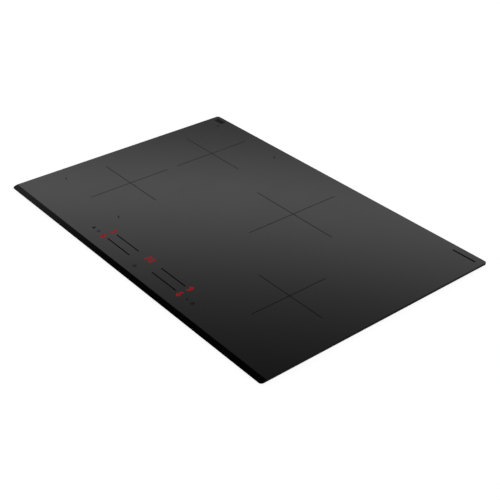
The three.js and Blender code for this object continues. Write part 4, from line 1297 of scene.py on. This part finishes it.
def smooth_route(points, steps=10):
    """Close-set points on a smooth curve through a few that are given in millimetres."""
    knots = [mm(*point) for point in points]
    knots = knots[:1] + knots + knots[-1:]
    route = []
    for before, start, end, after in zip(knots, knots[1:], knots[2:], knots[3:]):
        for t in (step / steps for step in range(steps)):
            bow = 2 * before - 5 * start + 4 * end - after
            swing = 3 * start - before - 3 * end + after
            route.append((2 * start + (end - before) * t + bow * t ** 2 + swing * t ** 3) / 2)
    return route + knots[-1:]


def add_core(mesh_build, route, share, lay, offset):
    """One core of a bundle that twists round a route, a full turn in every `lay` millimetres."""
    run, points = 0, []
    for before, point, after in zip(route[:1] + route, route, route[1:] + route[-1:]):
        along = (after - before).normalized()
        side = along.cross(Vector((0, 0, 1))).normalized()
        turn = math.tau * (run / (lay * MM) + share)
        points.append(point + (side * math.cos(turn) + side.cross(along) * math.sin(turn)) * offset)
        run += (after - point).length
    add_tube(mesh_build, points, offset * 0.95, fineness=3, smoothness=2)


HARNESSES = {
    "power_harness": {
        "route": ((-136, 112, 12), (-110, 113, 12), (-60, 117, 15), (0, 118, 16), (70, 117, 15),
                  (115, 113, 12), (136, 112, 12)),
        "cores": {"brown": brown_pvc, "blue": blue_pvc}, "offset": 1.25},
    "mains_harness": {
        "route": ((-105, 203, 13), (-105, 192, 13), (-96, 172, 12), (-78, 165, 11), (-62.5, 165, 11)),
        "cores": {"brown": brown_pvc, "blue": blue_pvc, "black": black_pvc}, "offset": 1.4},
}
for harness, made in HARNESSES.items():
    route = smooth_route(made["route"])
    for index, (colour, pvc) in enumerate(made["cores"].items()):
        core_build = bmesh.new()
        add_core(core_build, route, index / len(made["cores"]), 22, made["offset"] * MM)
        add_piece(f"{harness}_{colour}_core", core_build, pvc, "cable_black",
                  *([harness] if index == 0 else []))

for name, side in (("left", -1), ("right", 1)):
    leads_build = bmesh.new()
    for shift in (0, 3):
        add_tube(leads_build, [mm(side * (254 + shift), 124.5, 10), mm(side * (254 + shift), 121, 10.5),
                               mm(side * (251 + shift), 115, 9.5), mm(side * (251 + shift), 112, 6.8)],
                 0.8 * MM, fineness=3)
    add_piece(f"fan_leads_{name}", leads_build, black_pvc, "cable_black")

# ---- Terminal block ------------------------------------------------------------------------
# Six screw terminals for the mains cable behind the rear opening. The block is moulded, and each
# well holds a slotted brass screw over a brass cage.

BLOCK_LOW, BLOCK_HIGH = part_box("terminal_block")
POLES = 6
POLE_PITCH = 13
WELL_FLOOR = 18
CAGE_PLATES = (9.2, 15)

terminal_nylon = moulded_finish("ivory_terminal_nylon", "d9d3c4", "e9e4d8", 0.5, 0.8)
block_build = soften(copy_of("terminal_block"), 0.3 * MM, over=50)
add_piece("screw_terminals", block_build, terminal_nylon, "terminal_plastic", "terminal_block")

# Brass from the lathe: warm yellow, with turning rings that are too fine to see singly.
turned_brass = clouded_finish("turned_brass", 2, shades=("a88242", "d4b56c"), rough=(0.22, 0.42),
                              looks={"Metallic": 1}, Detail=3)

block_middle = (BLOCK_LOW + BLOCK_HIGH) / 2
one_screw = bmesh.new()
add_turned(one_screw, ((0, 0), (3.2, 0), (3.2, 1.7), (2.8, 2.1), (0, 2.1)), 0, 0, steps=40)
slot_build = bmesh.new()
add_slab(slot_build, mm(-4, -0.4, 1.1), mm(4, 0.4, 4))
one_screw = carve(one_screw, slot_build)
pole_x = [block_middle.x / MM + (pole - (POLES - 1) / 2) * POLE_PITCH for pole in range(POLES)]
brass_build = bmesh.new()
add_copies(brass_build, one_screw, [Matrix.Translation(mm(x, block_middle.y / MM, WELL_FLOOR + 0.05))
                                    for x in pole_x])
for x in pole_x:
    for height in CAGE_PLATES:
        add_slab(brass_build, mm(x - 3.2, 221.8, height), mm(x + 3.2, 229.5, height + 0.8))
add_piece("terminal_brass", brass_build, turned_brass, "copper_winding")

# ---- Terminal cover ------------------------------------------------------------------------
# A flat moulded lid over the terminals. It swings down on two pins in the tray's lugs, and a
# ledge along its top edge takes a thumb.

COVER_LOW, COVER_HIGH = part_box("terminal_cover")
HINGE_Y, HINGE_Z = 242.3, 2.6
COVER_HALF = 49.8
PIN_REACH = 4.2
COVER_RIBS = (12, 20, 28)
cover_x = (COVER_LOW.x + COVER_HIGH.x) / 2 / MM
cover_face = COVER_LOW.y / MM
cover_top = COVER_HIGH.z / MM
cover_build = bmesh.new()
add_plate(cover_build, mm(cover_x - COVER_HALF, HINGE_Z - 0.5, -HINGE_Y),
          mm(cover_x + COVER_HALF, cover_top, -cover_face), 1.5 * MM, segments=6)
bmesh.ops.rotate(cover_build, cent=(0, 0, 0), matrix=Matrix.Rotation(math.pi / 2, 3, "X"),
                 verts=cover_build.verts[:])
for height in COVER_RIBS:
    add_slab(cover_build, mm(cover_x - 40, HINGE_Y - 0.3, height),
             mm(cover_x + 40, HINGE_Y + 0.6, height + 1.6))
add_slab(cover_build, mm(cover_x - 15, HINGE_Y - 0.5, cover_top - 2.5),
         mm(cover_x + 15, HINGE_Y + 2, cover_top))
add_rod(cover_build, 2 * MM, mm(cover_x - COVER_HALF, HINGE_Y, HINGE_Z),
        mm(cover_x + COVER_HALF, HINGE_Y, HINGE_Z), steps=40)
add_rod(cover_build, 1.2 * MM, mm(cover_x - COVER_HALF - PIN_REACH, HINGE_Y, HINGE_Z),
        mm(cover_x + COVER_HALF + PIN_REACH, HINGE_Y, HINGE_Z), steps=32)
soften(cover_build, 0.3 * MM)
cover_plastic = moulded_finish("grained_black_cover_plastic", "1a1b1d", "232426", 0.52, 0.4)
add_piece("terminal_lid", cover_build, cover_plastic, "black_plastic", "terminal_cover",
          body="terminal_door")

# ---- Cable gland ---------------------------------------------------------------------------
# A rubber grommet with a flange on each side of the rear wall lines the hole for the cable.

GLAND_LOW, GLAND_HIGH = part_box("cable_gland")
gland_middle = (GLAND_LOW + GLAND_HIGH) / 2
wall_inside = GLAND_HIGH.y - 3 * MM
black_rubber = moulded_finish("black_grommet_rubber", "151617", "1e1f20", 0.7, 0.6)
gland_profile = ((5.6, -5.6), (6, -6), (7.9, -6), (8.6, -5.6), (9.7, -0.9), (9.6, -0.3), (7.5, -0.3),
                 (7.5, 1.3), (9.6, 1.3), (10, 1.7), (9.9, 2.3), (9.2, 2.8), (8, 3), (6.4, 3), (5.6, 2.4))
gland_build = bmesh.new()
add_turned(gland_build, gland_profile, 0, 0, steps=64)
bmesh.ops.transform(gland_build, verts=gland_build.verts[:],
                    matrix=facing((gland_middle.x, wall_inside, gland_middle.z), (0, 1, 0)))
add_piece("grommet", gland_build, black_rubber, "cable_black", "cable_gland")

# ---- Worktop clamps ------------------------------------------------------------------------
# Strips of spring steel under the casing's corners. Each swings out on its screw under the
# worktop, and its toothed tip grips as the screw draws it up.

CLAMP_HALF = 8
CLAMP_REACH = 32
CLAMP_SHEET = 1.5
CLAMP_HOLE = 2.4
TEETH, TOOTH_PITCH, TOOTH_HALF = 5, 3.2, 0.8

# Hardened strip: blue-grey steel under oil, with rolling lines along it.
clamp_steel, tree, shader, where = new_finish("oiled_spring_steel")
rolled = add_node(tree, "Mapping", {"Vector": where, "Scale": (1, 0.05, 1)})
lines = add_node(tree, "TexNoise",
                 {"Vector": rolled.outputs[0], "Scale": 1 / (0.4 * MM), "Detail": 3})
dress(shader, {"Metallic": 1}, shades=(lines.outputs["Fac"], "74797e", "989da1"),
      rough=(lines.outputs["Fac"], 0.25, 0.45))

# Degrees that each clamp is turned from pointing to the rear.
CORNERS = {"front_left": 0, "front_right": 0, "rear_left": 180, "rear_right": 180}
for name, turned in CORNERS.items():
    low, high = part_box(f"worktop_clamp_{name}")
    base, tip_top = low.z / MM, high.z / MM
    heel = [(CLAMP_HALF * math.cos(turn), CLAMP_HALF * math.sin(turn))
            for turn in (math.pi + step * math.pi / 24 for step in range(25))]
    outline = heel + [(CLAMP_HALF, CLAMP_REACH), (-CLAMP_HALF, CLAMP_REACH)]
    arm_build = bmesh.new()
    add_extrusion(arm_build, [mm(x, y, base) for x, y in outline], mm(0, 0, CLAMP_SHEET))
    tip_build = bmesh.new()
    add_slab(tip_build, mm(-CLAMP_HALF, CLAMP_REACH - CLAMP_SHEET, base),
             mm(CLAMP_HALF, CLAMP_REACH, tip_top))
    arm_build = carve(arm_build, tip_build, "UNION")
    rib_build = bmesh.new()
    add_slab(rib_build, mm(-1.5, 6, base + 1), mm(1.5, CLAMP_REACH - 1, base + CLAMP_SHEET + 1))
    arm_build = carve(arm_build, rib_build, "UNION")
    cuts_build = bmesh.new()
    add_rod(cuts_build, CLAMP_HOLE * MM, mm(0, 0, 0), mm(0, 0, 9), steps=40)
    for tooth in range(TEETH):
        notch = add_slab(cuts_build, mm(-TOOTH_HALF, CLAMP_REACH - 3, -TOOTH_HALF),
                         mm(TOOTH_HALF, CLAMP_REACH + 3, TOOTH_HALF))
        place = Matrix.Translation(mm((tooth - (TEETH - 1) / 2) * TOOTH_PITCH, 0, tip_top))
        bmesh.ops.transform(cuts_build, verts=notch, matrix=place @ Matrix.Rotation(math.pi / 4, 4, "Y"))
    arm_build = soften(carve(arm_build, cuts_build), 0.2 * MM)
    pivot_x = (low.x + high.x) / 2
    pivot_y = high.y - CLAMP_HALF * MM if turned else low.y + CLAMP_HALF * MM
    turn = Matrix.Rotation(math.radians(turned), 4, "Z")
    bmesh.ops.transform(arm_build, matrix=Matrix.Translation((pivot_x, pivot_y, 0)) @ turn,
                        verts=arm_build.verts[:])
    add_piece(f"clamp_arm_{name}", arm_build, clamp_steel, "spring_steel", f"worktop_clamp_{name}",
              body=f"clamp_{name}")

# ---- Clamp screws --------------------------------------------------------------------------
# A zinc-plated machine screw holds each clamp, in a square nut inside the tray. The head, with
# its cross recess, faces down, and clamp and screw turn together.

THREAD_PITCH = 0.8
SHANK = 2
THREAD_DEPTH = 0.35

for name in CORNERS:
    middle, head, base, top = round_node(f"clamp_screw_{name}")
    head_top = base + 2.4
    profile = [(0, base), (head - 1.2, base), (head - 0.4, base + 0.3), (head, base + 1),
               (head, head_top - 0.2), (head - 0.2, head_top), (SHANK, head_top)]
    turns = int((top - 1 - head_top) / THREAD_PITCH)
    for thread in range(turns):
        height = head_top + 0.3 + thread * THREAD_PITCH
        profile += [(SHANK, height), (SHANK - THREAD_DEPTH, height + THREAD_PITCH / 2)]
    profile += [(SHANK, top - 1), (SHANK - 0.8, top), (0, top)]
    screw_build = bmesh.new()
    add_turned(screw_build, profile, middle.x, middle.y, steps=40)
    cross_build = bmesh.new()
    for half_x, half_y in ((3, 0.5), (0.5, 3)):
        add_slab(cross_build, middle - Vector((half_x * MM, half_y * MM, middle.z)),
                 middle + Vector((half_x * MM, half_y * MM, (base + 1) * MM - middle.z)))
    screw_build = carve(screw_build, cross_build)
    add_piece(f"clamp_bolt_{name}", screw_build, bright_zinc, "zinc_steel", f"clamp_screw_{name}",
              body=f"clamp_{name}")

NUT_HALF = 4.5
NUT_BASE, NUT_TOP = 9.2, 12.2
NUT_BORE = 2.1 * MM
nuts_build = bmesh.new()
bores_build = bmesh.new()
for name in CORNERS:
    low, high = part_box(f"clamp_screw_{name}")
    foot = Vector(((low.x + high.x) / 2, (low.y + high.y) / 2, 0))
    add_plate(nuts_build, foot + mm(-NUT_HALF, -NUT_HALF, NUT_BASE), foot + mm(NUT_HALF, NUT_HALF, NUT_TOP),
              0.8 * MM, segments=3)
    add_rod(bores_build, NUT_BORE, foot + mm(0, 0, NUT_BASE - 1.2), foot + mm(0, 0, NUT_TOP + 1.8),
            steps=40)
nuts_build = soften(carve(nuts_build, bores_build), 0.25 * MM)
add_piece("clamp_nuts", nuts_build, bright_zinc, "zinc_steel")
